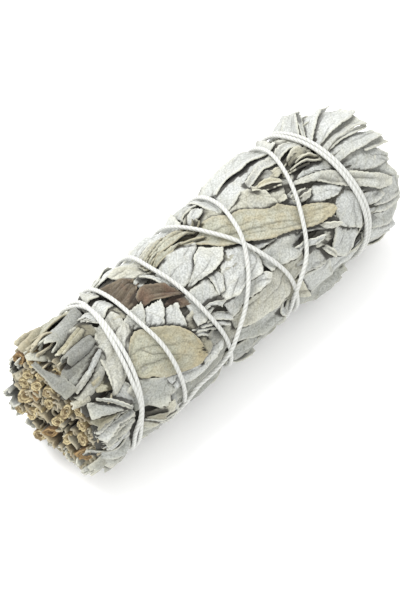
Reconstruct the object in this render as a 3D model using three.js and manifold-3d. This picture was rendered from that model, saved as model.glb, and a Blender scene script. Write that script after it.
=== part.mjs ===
// A sage smudge stick: a bundle of dried white sage, tied along its length with one cotton string.
// It lies on its side. Millimetres, X along the bundle from the cut stems to the leaf tips, +Z up.
import * as THREE from 'three';
import { mergeVertices } from 'three/addons/utils/BufferGeometryUtils.js';
import Module from 'manifold-3d';

const wasm = await Module();
wasm.setup();

// Driving dimensions
const AXIS_HEIGHT = 17.0; // of the bundle's own axis over the surface it lies on
const ENVELOPE = [ // place along the bundle and radius over the leaves
  [-51, 15.6], [-45, 16.9], [-38, 17.0], [-25, 17.5], [-12, 17.5], [0, 17.3],
  [15, 17.8], [30, 18.0], [40, 17.9], [46, 18.2], [50, 17.6], [54, 16.5],
];
const SETTLED = 0.9; // how far the envelope reaches below the surface before the underside is pressed flat
const SETTLED_SPREAD = 6; // the larger, the narrower the settled strip
const MEAN_RADIUS = 17.5; // turns an angle round the bundle into a length along its skin
const CORE_DEPTH = 1.7; // from the envelope down to the packed leaf bases
const CORE_SIDES = 14;
const CORE_STATIONS = 5;
const CORE_BUTT = -44;
const CORE_TIP = 45;
const CORE_EDGE = 1.5; // how far the packed bases round off at each end
const BLADE = 0.8; // leaf thickness at its tip
const BASE_THICKNESS = 3.0; // added towards the root, inside the core
const NARROW = 4.7; // a leaf under this width is one strip
const LEAF_DEPTH = 1.0; // from the envelope down to the middle of a leaf with no lift
const ROOT_SINK = 1.9; // how far a leaf's root dips below its tip
const RIPPLE = 0.15; // height of the slow wave along a leaf
const OUTLINE = { foot: 0.09, tip: 0.93, blunt: 0.7, scallop: 0.09, scallops: 17 };
const FAN_FROM = 50; // a leaf whose tip lies past here belongs to the fan
const FLARE = 0.8; // how far the tips of the fan stand out
const GAP = 0.3; // between pieces that touch
const SLIVER = 0.03; // edges shorter than this are tidied away
const STRING_RADIUS = 0.6;
const STRING_RISE = 0.5; // how far the string's middle lies over the envelope
const STRING_CLEAR = 0.3; // between the string and the surface below
const STRING_STEPS_PER_TURN = 18;
const STRING_SIDES = 5;
const ROUTE_FINENESS = 8; // points of the eased route for each point set by hand
const CROSSING_REACH = 2.6; // along the string, from the top of a crossing down its side
const INNER_TIPS = [11, 7, 4]; // leaf tips in each ring inside the fan
const INNER_RADIUS = 13.8; // of the outer ring
const INNER_STEP = 4.1; // from one ring to the next
const STEM_ROOT = -37; // where the cut stems end inside the bundle
const STEM_SIDES = 6;
const STEM_TURN = 0.7; // radians that each stem is turned by past the one before
const PITH = { share: 0.5, depth: 1.2, rim: 0.1 }; // of the dimple in a stem's cut
const RAD = Math.PI / 180;
const COLOURS = { sage: 0xb9bbb0, olive: 0xb6b08c, brown: 0x8b7a66, stem: 0xbfa77a, cotton: 0xeeeee6 };
const DRY = 0.95; // roughness of dried leaf
const FIBRE = 0.9; // roughness of stem and cotton

// The string's route up the bundle and back: place along the bundle, degrees round it.
// Degrees grow from the top towards the front, and each turn adds 360.
const ROUTE_UP = [
  [-34.5, -106], [-32.0, -86], [-29.3, -66], [-28.0, -50], [-29.0, -20], [-30.8, 3], [-32.4, 23],
  [-33.7, 40], [-35.4, 66], [-38.9, 84], [-39.0, 115], [-36.0, 160], [-30.5, 210], [-25.5, 255],
  [-23.2, 300], [-23.3, 335], [-23.4, 366], [-22.6, 395], [-22.9, 425], [-23.4, 452], [-23.6, 485],
  [-21.5, 525], [-17.0, 575], [-13.0, 625], [-10.6, 665], [-11.1, 700], [-10.2, 728], [-9.2, 757],
  [-8.0, 786], [-7.8, 812], [-6.5, 850], [-4.0, 900], [-1.0, 955], [0.8, 1005], [2.3, 1042],
  [4.8, 1067], [8.8, 1094], [11.6, 1116], [13.7, 1136], [14.6, 1171], [16.0, 1210], [21.0, 1260],
  [28.5, 1310], [35.0, 1350], [38.2, 1380], [38.8, 1407], [39.9, 1437], [40.3, 1470], [39.9, 1502],
  [38.6, 1524], [37.0, 1550], [37.0, 1590], [38.5, 1650], [39.4, 1710], [39.9, 1750], [41.3, 1797],
  [41.7, 1830], [41.3, 1862], [40.0, 1884], [38.0, 1912],
];
const ROUTE_DOWN = [
  [38.0, 1912], [35.5, 1950], [33.5, 2000], [32.2, 2050], [33.4, 2102], [32.6, 2127], [28.9, 2162],
  [24.9, 2188], [20.5, 2213], [14.8, 2230], [11.8, 2262], [10.5, 2310], [11.5, 2370], [12.4, 2430],
  [13.2, 2474], [12.5, 2502], [9.3, 2532], [4.8, 2557], [0.4, 2573], [-5.8, 2588], [-9.2, 2600],
  [-13.5, 2605], [-19.6, 2607], [-24.0, 2618], [-27.5, 2650], [-29.0, 2700], [-29.8, 2760],
  [-30.3, 2820], [-28.6, 2850], [-29.9, 2883], [-31.5, 2908], [-34.0, 2936], [-37.0, 2962],
  [-38.0, 3000], [-37.5, 3060], [-35.6, 3118],
];
const KNOT_AT = [-35.0, -108, 0.1]; // along, degrees round, height over the envelope
const KNOT_RADIUS = 1.5;
// Where the string rides over another stretch of itself: degrees along the route down, and how high
const LIFTS = [[2588, 1.1], [2530, 1.1], [2226, 1.0], [2612, 0.5]];

// Leaves, hand placed: root, middle and tip as [along, degrees],
// full width, lift over the skin, fold of the edges
const GREY_LEAVES = [
  // Between the cut end and the first string
  [[-29, -46], [-36, -40], [-42.0, -32], 8.5, 0.2, -0.10],
  [[-33, -24], [-38, -20], [-43.0, -17], 5.0, -0.1, 0.30],
  [[-40, -12], [-37, -18], [-34.8, -25], 2.8, 0.4, 0.20],
  [[-34, -6], [-39, -6], [-43.6, -3], 4.2, 0.3, -0.35],
  [[-34, 8], [-40, 12], [-47.4, 17], 4.6, 0.1, 0.35],
  [[-42, 6], [-45, 10], [-49.0, 14], 6.6, -0.5, 0.10],
  [[-25, -14], [-32, 8], [-39.5, 36], 8.4, 0.5, -0.10],
  [[-36, 54], [-41, 44], [-46.6, 33], 6.4, 0.3, 0.35],
  [[-36, 62], [-42, 63], [-49.4, 60], 5.0, 0.1, 0.35],
  [[-36, 73], [-42, 72], [-49.0, 70], 4.6, 0.0, 0.35],
  [[-37, 84], [-42, 82], [-48.6, 80], 5.4, 0.0, 0.30],
  [[-30, 94], [-38, 94], [-47.6, 94], 7.0, -0.1, 0.15],
  [[-31, -66], [-39, -66], [-48.4, -62], 6.6, -0.1, 0.20],
  // Between the first strings
  [[-23, -24], [-28, -26], [-32.8, -27], 6.0, 0.4, -0.10],
  [[-20, -58], [-26, -56], [-33.0, -54], 8.0, 0.1, -0.10],
  [[-14, 78], [-27, 68], [-38.0, 46], 9.6, 0.3, -0.05],
  [[-10, 87], [-18, 87], [-26.0, 92], 7.0, -0.1, 0.10],
  [[-8, -41], [-14, -38], [-21.4, -33], 9.6, 0.2, -0.10],
  [[-12, 3], [-11.5, -8], [-15.5, -15], 2.8, 0.4, 0.40],
  [[-27, 2], [-21, 6], [-15.2, 9], 6.6, 0.2, -0.15],
  [[-25, 19], [-19, 22], [-13.0, 23], 6.2, 0.1, -0.10],
  [[-14, -15], [-7, -13], [-0.2, -8], 8.0, 0.4, -0.15],
  [[-12, 3], [-7, 4], [-2.4, 6], 5.8, 0.3, -0.15],
  [[-6, 10], [-1, 9], [4.2, 5], 6.8, 0.4, -0.15],
  [[1, 29], [-6, 27], [-12.6, 28], 7.2, 0.2, -0.10],
  [[-1, 14], [-3, 20], [-4.2, 29], 3.2, 0.4, 0.30],
  [[-9, 62], [-10.6, 54], [-14.6, 48], 3.0, 0.3, 0.40],
  [[3, 42], [-5, 42], [-12.4, 37], 3.2, 0.2, 0.30],
  [[-4, 72], [-13, 72], [-23.0, 70], 8.4, 0.2, -0.10],
  [[4, -54], [-6, -56], [-18.0, -58], 9.0, 0.0, 0.05],
  // The middle of the bundle
  [[14, 41], [7, 31], [0.0, 17], 9.8, 0.2, -0.10],
  [[24, 50], [17, 44], [10.0, 34], 7.6, 0.1, -0.10],
  [[14, 46], [5, 50], [-5.0, 55], 3.4, 0.3, 0.20],
  [[17, 66], [6, 64], [-6.0, 63], 6.8, 0.2, 0.05],
  [[15, 80], [7, 80], [-1.0, 78], 7.0, 0.0, 0.10],
  [[29, 47], [24, 51], [18.2, 57], 6.0, 0.2, 0.25],
  [[28, 80], [22, 79], [15.8, 77], 7.0, 0.0, 0.10],
  [[10, -20], [6, -26], [1.6, -36], 4.4, 0.3, 0.10],
  [[36, -34], [24, -32], [12.0, -28], 9.4, 0.3, -0.10],
  [[40, -28], [31, -24], [22.0, -19], 5.4, 0.4, -0.15],
  [[31, -56], [20, -54], [7.6, -52], 9.6, 0.0, 0.05],
  [[40, -17], [30, -16], [18.6, -14], 3.4, 0.1, 0.30],
  [[41, -3], [34, -3], [27.6, -8], 3.6, 0.1, 0.35],
  [[42, 24], [35, 22], [28.4, 25], 6.0, 0.3, -0.15],
  [[42, 35], [36, 37], [31.2, 43], 8.6, 0.4, -0.10],
  [[39, 73], [34, 64], [29.6, 52], 8.0, 0.2, -0.05],
  [[40, 85], [33, 84], [26.0, 80], 8.0, 0.0, 0.10],
  [[26, 3], [40, 22], [51.8, 56], 6.4, 0.6, 0.30],
  // The fan of tips past the last string
  [[34, -66], [44, -64], [51.8, -58], 9.0, 0.0, 0.10],
  [[34, -42], [44, -40], [52.0, -36], 9.4, 0.2, 0.10],
  [[35, -24], [45, -23], [52.4, -19], 8.6, 0.2, 0.10],
  [[37, -7], [46, -5], [52.4, -3], 7.0, 0.1, 0.20],
  [[37, 9], [46, 12], [52.4, 15], 7.8, 0.3, -0.10],
  [[37, 27], [45, 31], [52.0, 33], 8.4, 0.1, 0.10],
  [[36, 62], [45, 67], [52.0, 72], 8.0, 0.1, 0.10],
  [[36, 84], [45, 88], [52.2, 92], 8.6, 0.1, 0.10],
];
const OLIVE_LEAVES = [
  [[-11, -34], [8, -6], [33.6, 39], 8.2, 0.7, -0.06],
  [[-37, 25], [-26, 39], [-13.6, 59], 11.6, 0.7, -0.05],
  [[-34, -54], [-40, -50], [-47.6, -47], 5.4, 0.3, 0.30],
  [[-36, 20], [-40, 24], [-46.0, 24], 3.6, 0.4, 0.35],
];
const BROWN_LEAVES = [
  [[-18.6, -50], [-19.4, -26], [-20.6, -2], 6.4, 0.2, 0.05],
  [[-23.4, -4], [-15, 3], [-6.6, 13], 4.4, 0.3, 0.10],
];

// Cut stems: across (+Y is the far side), height, place of the cut, radius
const STEMS = [
  [12.8, 26.6, -47.4, 1.6], [9.2, 29.4, -46.6, 2.0], [4.9, 29.3, -47.4, 1.4], [8.8, 25.3, -48.5, 1.4],
  [5.3, 25.4, -48.9, 1.3], [1.7, 26.6, -48.4, 1.5], [1.9, 31.2, -45.0, 1.4], [9.5, 21.6, -49.4, 1.5],
  [8.6, 17.4, -50.3, 1.9], [5.3, 21.5, -49.5, 1.2], [1.1, 22.5, -49.1, 1.5], [-2.6, 19.4, -49.9, 1.6],
  [-4.3, 25.4, -48.5, 1.7], [-7.6, 28.4, -47.4, 1.3], [-9.4, 24.9, -48.3, 1.4], [-10.4, 20.8, -49.4, 1.6],
  [-12.0, 16.4, -50.3, 1.9], [5.6, 13.6, -51.4, 1.5], [3.2, 17.6, -50.7, 1.3], [-1.6, 14.8, -51.9, 1.5],
  [-6.6, 17.0, -50.5, 1.4], [-7.8, 12.0, -51.6, 1.5], [1.8, 9.4, -52.6, 1.6], [9.8, 9.8, -51.2, 1.5],
  [-2.4, 30.3, -46.2, 1.1],
];

// Leaves rolled up along the bundle at its cut end:
// across, height, place of the end, radius, degrees turned by, degrees that the wall runs round
const ROLLS = [
  [13.6, 17.6, -50.6, 2.6, 20, 250], [-10.4, 8.2, -50.4, 2.4, 200, 230], [-3.0, 5.6, -49.8, 2.0, 120, 250],
  [5.4, 4.8, -49.4, 2.2, 60, 240], [13.6, 8.6, -48.8, 2.2, 10, 240], [-14.2, 11.4, -48.4, 1.8, 150, 260],
];
const ROLL = { root: -41, columns: 5, taper: 0.8, ragged: 0.7 };

// Leaves by rule on the side that lies away and underneath, in rows that overlap like shingles
const RULED = {
  rows: 5, perRow: 5, start: -36, reach: 84, from: 104, step: 42, stagger: 14, ends: [-49, 51.8],
};

// A seeded draw, so each run gives the same bundle
let seed = 20231;
const MODULUS = 2 ** 31 - 1;
function vary(middle, spread) {
  seed = (seed * 16807) % MODULUS;
  return middle + spread * ((seed - 1) / (MODULUS - 1) - 0.5);
}

// Radius over the leaves at a place along the bundle, eased from station to station
function envelope(x) {
  const last = ENVELOPE.length - 1;
  if (x <= ENVELOPE[0][0]) return ENVELOPE[0][1];
  if (x >= ENVELOPE[last][0]) return ENVELOPE[last][1];
  const k = ENVELOPE.findIndex((station) => station[0] > x);
  const [x0, r0] = ENVELOPE[k - 1];
  const [x1, r1] = ENVELOPE[k];
  const t = (x - x0) / (x1 - x0);
  return r0 + (r1 - r0) * t * t * (3 - 2 * t);
}

// A point on or near the skin: along, degrees round, and height over the envelope.
// Underneath, the envelope is pressed straight along the surface the bundle lies on.
function onSkin(x, degrees, height) {
  const down = Math.max(0, -Math.cos(degrees * RAD)) ** SETTLED_SPREAD;
  const r = envelope(x) * (1 - down) + (AXIS_HEIGHT + SETTLED) * down + height;
  return new THREE.Vector3(x, -r * Math.sin(degrees * RAD), AXIS_HEIGHT + r * Math.cos(degrees * RAD));
}

// The string's middle line, sampled in equal steps of angle
function sampleRoute(route) {
  const along = new THREE.CatmullRomCurve3(route.map(([x, degrees]) => new THREE.Vector3(x, degrees, 0)));
  const fine = along.getPoints(route.length * ROUTE_FINENESS);
  const start = route[0][1];
  const turns = (route[route.length - 1][1] - start) / 360;
  const count = Math.round(turns * STRING_STEPS_PER_TURN);
  const samples = [];
  for (let i = 0; i <= count; i += 1) {
    const degrees = start + (360 * turns * i) / count;
    const k = Math.max(1, fine.findIndex((point) => point.y >= degrees - 1e-9));
    const t = (degrees - fine[k - 1].y) / Math.max(fine[k].y - fine[k - 1].y, 1e-9);
    samples.push([fine[k - 1].x + (fine[k].x - fine[k - 1].x) * Math.min(t, 1), degrees]);
  }
  return samples;
}

const upSamples = sampleRoute(ROUTE_UP);
const downSamples = sampleRoute(ROUTE_DOWN);

// A closed geometry made a solid for joining and cutting
function toSolid(geometry) {
  geometry.deleteAttribute('normal');
  geometry.deleteAttribute('uv');
  const merged = mergeVertices(geometry, 1e-5);
  return new wasm.Manifold(new wasm.Mesh({
    numProp: 3,
    vertProperties: Float32Array.from(merged.attributes.position.array),
    triVerts: Uint32Array.from(merged.index.array),
  }));
}

// The largest body of a solid: loose scraps are dropped and sealed hollows are filled
function largestBody(solid) {
  const bodies = solid.decompose();
  bodies.sort((a, b) => b.volume() - a.volume());
  return bodies[0];
}

// A solid back as a geometry, with its slivers tidied away
function toGeometry(solid) {
  const mesh = largestBody(solid.simplify(SLIVER)).getMesh();
  const geometry = new THREE.BufferGeometry();
  geometry.setAttribute('position', new THREE.BufferAttribute(Float32Array.from(mesh.vertProperties), 3));
  geometry.setIndex(new THREE.BufferAttribute(Uint32Array.from(mesh.triVerts), 1));
  return geometry;
}

// A closed shell over a grid of upper and lower points, split in triangles alike on both faces
function shell(upper, lower) {
  const rows = upper.length;
  const columns = upper[0].length;
  const positions = [];
  const index = [];
  for (const face of [upper, lower]) {
    for (const row of face) row.forEach((point) => positions.push(point.x, point.y, point.z));
  }
  const id = (side, i, j) => side * rows * columns + i * columns + j;
  for (let i = 0; i < rows - 1; i += 1) {
    for (let j = 0; j < columns - 1; j += 1) {
      const [a, b, c, d] = [[i, j], [i + 1, j], [i + 1, j + 1], [i, j + 1]];
      index.push(id(0, ...a), id(0, ...b), id(0, ...c), id(0, ...a), id(0, ...c), id(0, ...d));
      index.push(id(1, ...a), id(1, ...c), id(1, ...b), id(1, ...a), id(1, ...d), id(1, ...c));
    }
  }
  const rim = []; // the grid's edge, once round
  for (let i = 0; i < rows - 1; i += 1) rim.push([i, 0]);
  for (let j = 0; j < columns - 1; j += 1) rim.push([rows - 1, j]);
  for (let i = rows - 1; i > 0; i -= 1) rim.push([i, columns - 1]);
  for (let j = columns - 1; j > 0; j -= 1) rim.push([0, j]);
  rim.forEach((here, k) => {
    const next = rim[(k + 1) % rim.length];
    index.push(id(0, ...here), id(1, ...here), id(1, ...next), id(0, ...here), id(1, ...next), id(0, ...next));
  });
  const geometry = new THREE.BufferGeometry();
  geometry.setAttribute('position', new THREE.BufferAttribute(new Float32Array(positions), 3));
  geometry.setIndex(index);
  return geometry;
}

// A solid whose faces point outwards, whichever way its grid was wound
function outward(geometry) {
  const solid = toSolid(geometry);
  if (solid.volume() > 0) return solid;
  const index = geometry.index.array;
  for (let k = 0; k < index.length; k += 3) [index[k], index[k + 1]] = [index[k + 1], index[k]];
  return toSolid(geometry);
}

// Half the width of a sage leaf along its length:
// a narrow foot, widest past the middle, a blunt tip, waved edges
function leafHalfWidth(t, width, waves) {
  const { foot, tip, blunt, scallop, scallops } = OUTLINE;
  const outline = Math.sin(Math.PI * Math.min(tip, foot + 0.86 * t)) ** blunt;
  return 0.5 * width * outline * (1 + scallop * Math.sin(waves + scallops * t));
}

// One leaf laid on the skin, its root sunk in the core and its tip a little proud.
// A narrow leaf is one strip across, and a broad one has a midrib that its halves fold at.
function leaf([root, middle, tip, width, lift, fold], { grow = 0, steps = 3 } = {}) {
  const upper = [];
  const lower = [];
  const waves = Math.abs(root[0] * 3.1 + tip[1] * 0.7) % (2 * Math.PI);
  const sides = width < NARROW ? [-1, 1] : [-1, 0, 1];
  const flare = tip[0] > FAN_FROM ? FLARE : 0;
  for (let i = 0; i <= steps; i += 1) {
    const t = i / steps;
    const [a, b, c] = [(1 - t) ** 2, 2 * t * (1 - t), t ** 2];
    const x = a * root[0] + b * middle[0] + c * tip[0];
    const degrees = a * root[1] + b * middle[1] + c * tip[1];
    const dx = 2 * (1 - t) * (middle[0] - root[0]) + 2 * t * (tip[0] - middle[0]);
    const ds = (2 * (1 - t) * (middle[1] - root[1]) + 2 * t * (tip[1] - middle[1])) * RAD * MEAN_RADIUS;
    const long = Math.hypot(dx, ds);
    const sink = BASE_THICKNESS * Math.min(1, 1.6 * (1 - t));
    const ends = ((i === steps) - (i === 0)) * grow * (dx / long);
    const rows = [[], []];
    const wave = RIPPLE * Math.sin(waves + 4 * t);
    const spine = lift - LEAF_DEPTH - ROOT_SINK * (1 - t) ** 3 + flare * t * t + wave;
    for (const side of sides) {
      const half = leafHalfWidth(t, width, waves + side) + grow;
      const px = x - (side * half * ds) / long + ends;
      const pDegrees = degrees + (side * half * dx) / long / (RAD * MEAN_RADIUS);
      const height = spine + fold * half * Math.abs(side);
      rows[0].push(onSkin(px, pDegrees, height + 0.5 * BLADE + grow));
      rows[1].push(onSkin(px, pDegrees, height - 0.5 * BLADE - sink - grow));
    }
    upper.push(rows[0]);
    lower.push(rows[1]);
  }
  return outward(shell(upper, lower));
}

// The packed leaf bases under the leaves: rings whose radius follows the envelope
function core() {
  const profile = [[0, CORE_BUTT + 1], [0.6 * envelope(CORE_BUTT), CORE_BUTT]];
  const first = CORE_BUTT + CORE_EDGE;
  const last = CORE_TIP - CORE_EDGE;
  for (let i = 0; i <= CORE_STATIONS; i += 1) {
    const x = first + ((last - first) * i) / CORE_STATIONS;
    profile.push([envelope(x) - CORE_DEPTH, x]);
  }
  profile.push([0.6 * envelope(CORE_TIP), CORE_TIP], [0, CORE_TIP + 1]);
  const lathe = new THREE.LatheGeometry(profile.map(([r, x]) => new THREE.Vector2(r, x)), CORE_SIDES);
  lathe.rotateZ(-Math.PI / 2);
  lathe.translate(0, 0, AXIS_HEIGHT);
  return outward(lathe);
}

// A leaf tip that stands at the open end inside the fan, its flat side facing the bundle's axis
function innerTip(ring, count, k) {
  const degrees = vary((360 * (k + 0.5 * (ring % 2))) / count, 12);
  const radius = INNER_RADIUS - INNER_STEP * ring;
  const length = vary(6.8 + 0.5 * ring, 2.8);
  const half = vary(3.05, 0.9);
  const twist = vary(0, 1.6);
  const upper = [];
  const lower = [];
  // Share of the length, share of the width, and how far it leans out
  [[0, 1, 0], [0.62, 0.95, 0.6], [1, 0.3, 1.5]].forEach(([t, spread, out]) => {
    const rows = [[], []];
    for (const side of [-1, 1]) {
      [0.5 * BLADE, -0.5 * BLADE].forEach((offset, face) => {
        const across = side * half * spread;
        const r = radius + out + offset + side * twist * t;
        const turn = degrees * RAD;
        rows[face].push(new THREE.Vector3(
          CORE_TIP - 1.5 + length * t,
          -r * Math.sin(turn) - across * Math.cos(turn),
          AXIS_HEIGHT + r * Math.cos(turn) - across * Math.sin(turn),
        ));
      });
    }
    upper.push(rows[0]);
    lower.push(rows[1]);
  });
  return outward(shell(upper, lower));
}

// The leaves by rule: the first row points to the cut end, the others to the tips
function ruledLeaves() {
  const leaves = [];
  const [buttEnd, fanEnd] = RULED.ends;
  for (let row = 0; row < RULED.rows; row += 1) {
    for (let k = 0; k < RULED.perRow; k += 1) {
      const x = vary(RULED.start + (row * RULED.reach) / RULED.rows, 4);
      const degrees = vary(RULED.from + RULED.step * k + RULED.stagger * (row % 2), 7);
      const length = row ? vary(22.5, 3) : -vary(14.5, 3);
      const slant = vary(0, 24);
      const tipX = Math.max(buttEnd, Math.min(fanEnd, x + length));
      const middle = [0.5 * (x + tipX), vary(degrees + 0.5 * slant, 8)];
      const tip = [tipX, degrees + slant];
      leaves.push([[x, degrees], middle, tip, vary(12.8, 1.6), vary(0.2, 0.2), vary(0, 0.1)]);
    }
  }
  return leaves;
}

// A leaf rolled up along the bundle: a wall that runs most of the way round, open at its cut end
function roll([y, z, end, radius, turned, around]) {
  const upper = [];
  const lower = [];
  for (const [x, taper, ragged] of [[ROLL.root, ROLL.taper, 0], [end, 1, ROLL.ragged]]) {
    const rows = [[], []];
    for (let j = 0; j <= ROLL.columns; j += 1) {
      const angle = (turned + (around * j) / ROLL.columns) * RAD;
      const px = x + ragged * Math.sin(5 * j);
      [radius, radius - BLADE].forEach((r, face) => {
        const [across, up] = [taper * r * Math.cos(angle), taper * r * Math.sin(angle)];
        rows[face].push(new THREE.Vector3(px, y + across, z + up));
      });
    }
    upper.push(rows[0]);
    lower.push(rows[1]);
  }
  return outward(shell(upper, lower));
}

// A tube along the string's path, lifted at its crossings and kept off the surface below
function stringTube(samples, radius, lifts) {
  const points = samples.map(([x, degrees]) => {
    let height = STRING_RISE;
    for (const [centre, lift] of lifts) {
      const away = ((degrees - centre) * RAD * MEAN_RADIUS) / CROSSING_REACH;
      height += lift * Math.exp(-(away ** 2) / 2);
    }
    const point = onSkin(x, degrees, height);
    const over = point.z - STRING_RADIUS - STRING_CLEAR;
    point.z += 0.5 * (Math.hypot(over, STRING_CLEAR) - over);
    return point;
  });
  const section = new THREE.Shape();
  for (let k = 0; k < STRING_SIDES; k += 1) {
    const angle = (2 * Math.PI * k) / STRING_SIDES;
    section[k ? 'lineTo' : 'moveTo'](radius * Math.cos(angle), radius * Math.sin(angle));
  }
  section.closePath();
  return outward(new THREE.ExtrudeGeometry(section, {
    steps: points.length - 1,
    bevelEnabled: false,
    extrudePath: new THREE.CatmullRomCurve3(points),
  }));
}

// One stem: a slim rod with a pith dimple in its cut, or the room that it stands in
function stem([y, z, cut, radius], k, grow) {
  const wide = radius + grow;
  const cutFace = grow
    ? [[0, cut - 2], [wide, cut - 2]]
    : [[0, cut + PITH.depth], [PITH.share * wide, cut], [wide, cut + PITH.rim]];
  const profile = [...cutFace, [wide, STEM_ROOT + grow], [0, STEM_ROOT + grow]];
  const geometry = new THREE.LatheGeometry(profile.map(([r, x]) => new THREE.Vector2(r, x)), STEM_SIDES);
  geometry.rotateZ(-Math.PI / 2);
  geometry.rotateX(STEM_TURN * k);
  geometry.translate(0, y, z);
  return outward(geometry);
}

// Everything above the surface that the bundle lies on
function aboveSurface(solid) {
  const depth = 20;
  const slab = new THREE.BoxGeometry(200, 80, depth);
  slab.translate(0, 0, -0.5 * depth);
  return solid.subtract(toSolid(slab));
}

const stringUp = stringTube(upSamples, STRING_RADIUS, []);
const stringDown = stringTube(downSamples, STRING_RADIUS, LIFTS);
const grooveRadius = STRING_RADIUS + GAP / Math.cos(Math.PI / STRING_SIDES);
const grooveUp = stringTube(upSamples, grooveRadius, []);
const grooveDown = stringTube(downSamples, grooveRadius, LIFTS);
const knotPlace = onSkin(...KNOT_AT);
const [knotBall, knotRoom] = [KNOT_RADIUS, KNOT_RADIUS + GAP + 0.1].map((radius) => {
  const ball = new THREE.IcosahedronGeometry(radius, 1);
  ball.translate(knotPlace.x, knotPlace.y, knotPlace.z);
  return toSolid(ball);
});

const cottonString = largestBody(stringUp.add(stringDown).add(knotBall));
const groove = grooveUp.add(grooveDown).add(knotRoom);

const blades = [...GREY_LEAVES, ...ruledLeaves()].map((entry) => leaf(entry));
INNER_TIPS.forEach((count, ring) => {
  for (let k = 0; k < count; k += 1) blades.push(innerTip(ring, count, k));
});
blades.push(...ROLLS.map(roll));

const colouredEntries = [...OLIVE_LEAVES, ...BROWN_LEAVES];
const coloured = colouredEntries.map((entry) => leaf(entry, { steps: 4 }));
const colouredRoom = colouredEntries.map((entry) => leaf(entry, { steps: 4, grow: GAP }));
const stemRoom = wasm.Manifold.union(STEMS.map((entry, k) => stem(entry, k, GAP)));

let sage = wasm.Manifold.union([core(), ...blades]);
sage = sage.subtract(wasm.Manifold.union(colouredRoom)).subtract(stemRoom).subtract(groove);
sage = largestBody(aboveSurface(sage));

const group = new THREE.Group();
function addPiece(name, geometry, colour, roughness) {
  const material = new THREE.MeshStandardMaterial({ color: colour, roughness, metalness: 0 });
  const mesh = new THREE.Mesh(geometry, material);
  mesh.name = name;
  group.add(mesh);
}

addPiece('sage_leaves', toGeometry(sage), COLOURS.sage, DRY);
coloured.forEach((solid, k) => {
  const olive = k < OLIVE_LEAVES.length;
  let piece = solid.subtract(groove).subtract(stemRoom);
  colouredRoom.slice(0, k).forEach((room) => {
    piece = piece.subtract(room);
  });
  const name = olive ? `olive_leaf_${k + 1}` : `brown_leaf_${k + 1 - OLIVE_LEAVES.length}`;
  addPiece(name, toGeometry(aboveSurface(piece)), olive ? COLOURS.olive : COLOURS.brown, DRY);
});
STEMS.forEach((entry, k) => {
  addPiece(`stem_${k + 1}`, toGeometry(stem(entry, k, 0).subtract(groove)), COLOURS.stem, FIBRE);
});
addPiece('cotton_string', toGeometry(cottonString), COLOURS.cotton, FIBRE);

export default group;
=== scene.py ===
"""A sage smudge stick: dried white sage, bound with one cotton string, lying on its side.

Each leaf is a felted blade on a grid between its two edges. The leaves are laid one after another on a map of
the bundle's skin, each one resting on what is there already, and the whole heap is then drawn in along the
string. Other leaves stand free at the two ends. Tables hold millimetres and degrees round the bundle, counted
from the top towards the front. Meshes are in metres.
"""
import logging
import math
from dataclasses import dataclass, field
from enum import Enum

import bpy
import numpy as np
from mathutils import Matrix, Vector


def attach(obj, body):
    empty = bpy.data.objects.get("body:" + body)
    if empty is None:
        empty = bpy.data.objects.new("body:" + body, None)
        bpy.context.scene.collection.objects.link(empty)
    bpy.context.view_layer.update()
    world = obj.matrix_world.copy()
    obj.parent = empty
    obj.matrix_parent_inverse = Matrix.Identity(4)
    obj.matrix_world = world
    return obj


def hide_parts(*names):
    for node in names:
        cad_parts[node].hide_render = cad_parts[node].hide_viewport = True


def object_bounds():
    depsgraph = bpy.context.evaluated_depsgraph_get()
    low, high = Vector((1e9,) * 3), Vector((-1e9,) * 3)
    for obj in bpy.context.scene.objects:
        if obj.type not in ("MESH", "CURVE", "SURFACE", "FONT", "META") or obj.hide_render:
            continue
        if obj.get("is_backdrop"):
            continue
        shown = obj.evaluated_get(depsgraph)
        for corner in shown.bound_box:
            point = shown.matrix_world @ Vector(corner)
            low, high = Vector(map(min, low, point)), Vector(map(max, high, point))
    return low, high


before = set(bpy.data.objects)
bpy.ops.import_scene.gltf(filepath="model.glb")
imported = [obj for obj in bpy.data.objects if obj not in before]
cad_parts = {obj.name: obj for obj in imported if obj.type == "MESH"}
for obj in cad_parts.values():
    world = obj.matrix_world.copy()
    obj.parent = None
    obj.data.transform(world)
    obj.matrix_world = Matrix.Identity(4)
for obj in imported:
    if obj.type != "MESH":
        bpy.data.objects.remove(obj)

Array = np.ndarray
Point = tuple[float, float]
Triple = tuple[float, float, float]
Socket = bpy.types.NodeSocket
log = logging.getLogger("sage_smudge_stick")
MM = 0.001
# How far apart the bands of a wave texture are at a scale of 1
BAND_REPEAT = 0.32


class Tip(Enum):
    """How a leaf ends: its half width at seven even places from root to tip, as a share of the widest."""

    ROUND = (0.45, 0.78, 0.97, 1.0, 0.94, 0.74, 0.24)
    POINTED = (0.4, 0.75, 1.0, 0.96, 0.74, 0.42, 0.06)
    BLUNT = (0.55, 0.8, 0.95, 1.0, 0.98, 0.86, 0.55)
    CUT = (0.55, 0.85, 1.0, 1.0, 0.98, 0.95, 0.92)


class Tone(Enum):
    """The kind of leaf, which sets its finish."""

    GREY = "grey"
    OLIVE = "olive"
    BROWN = "brown"


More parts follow.
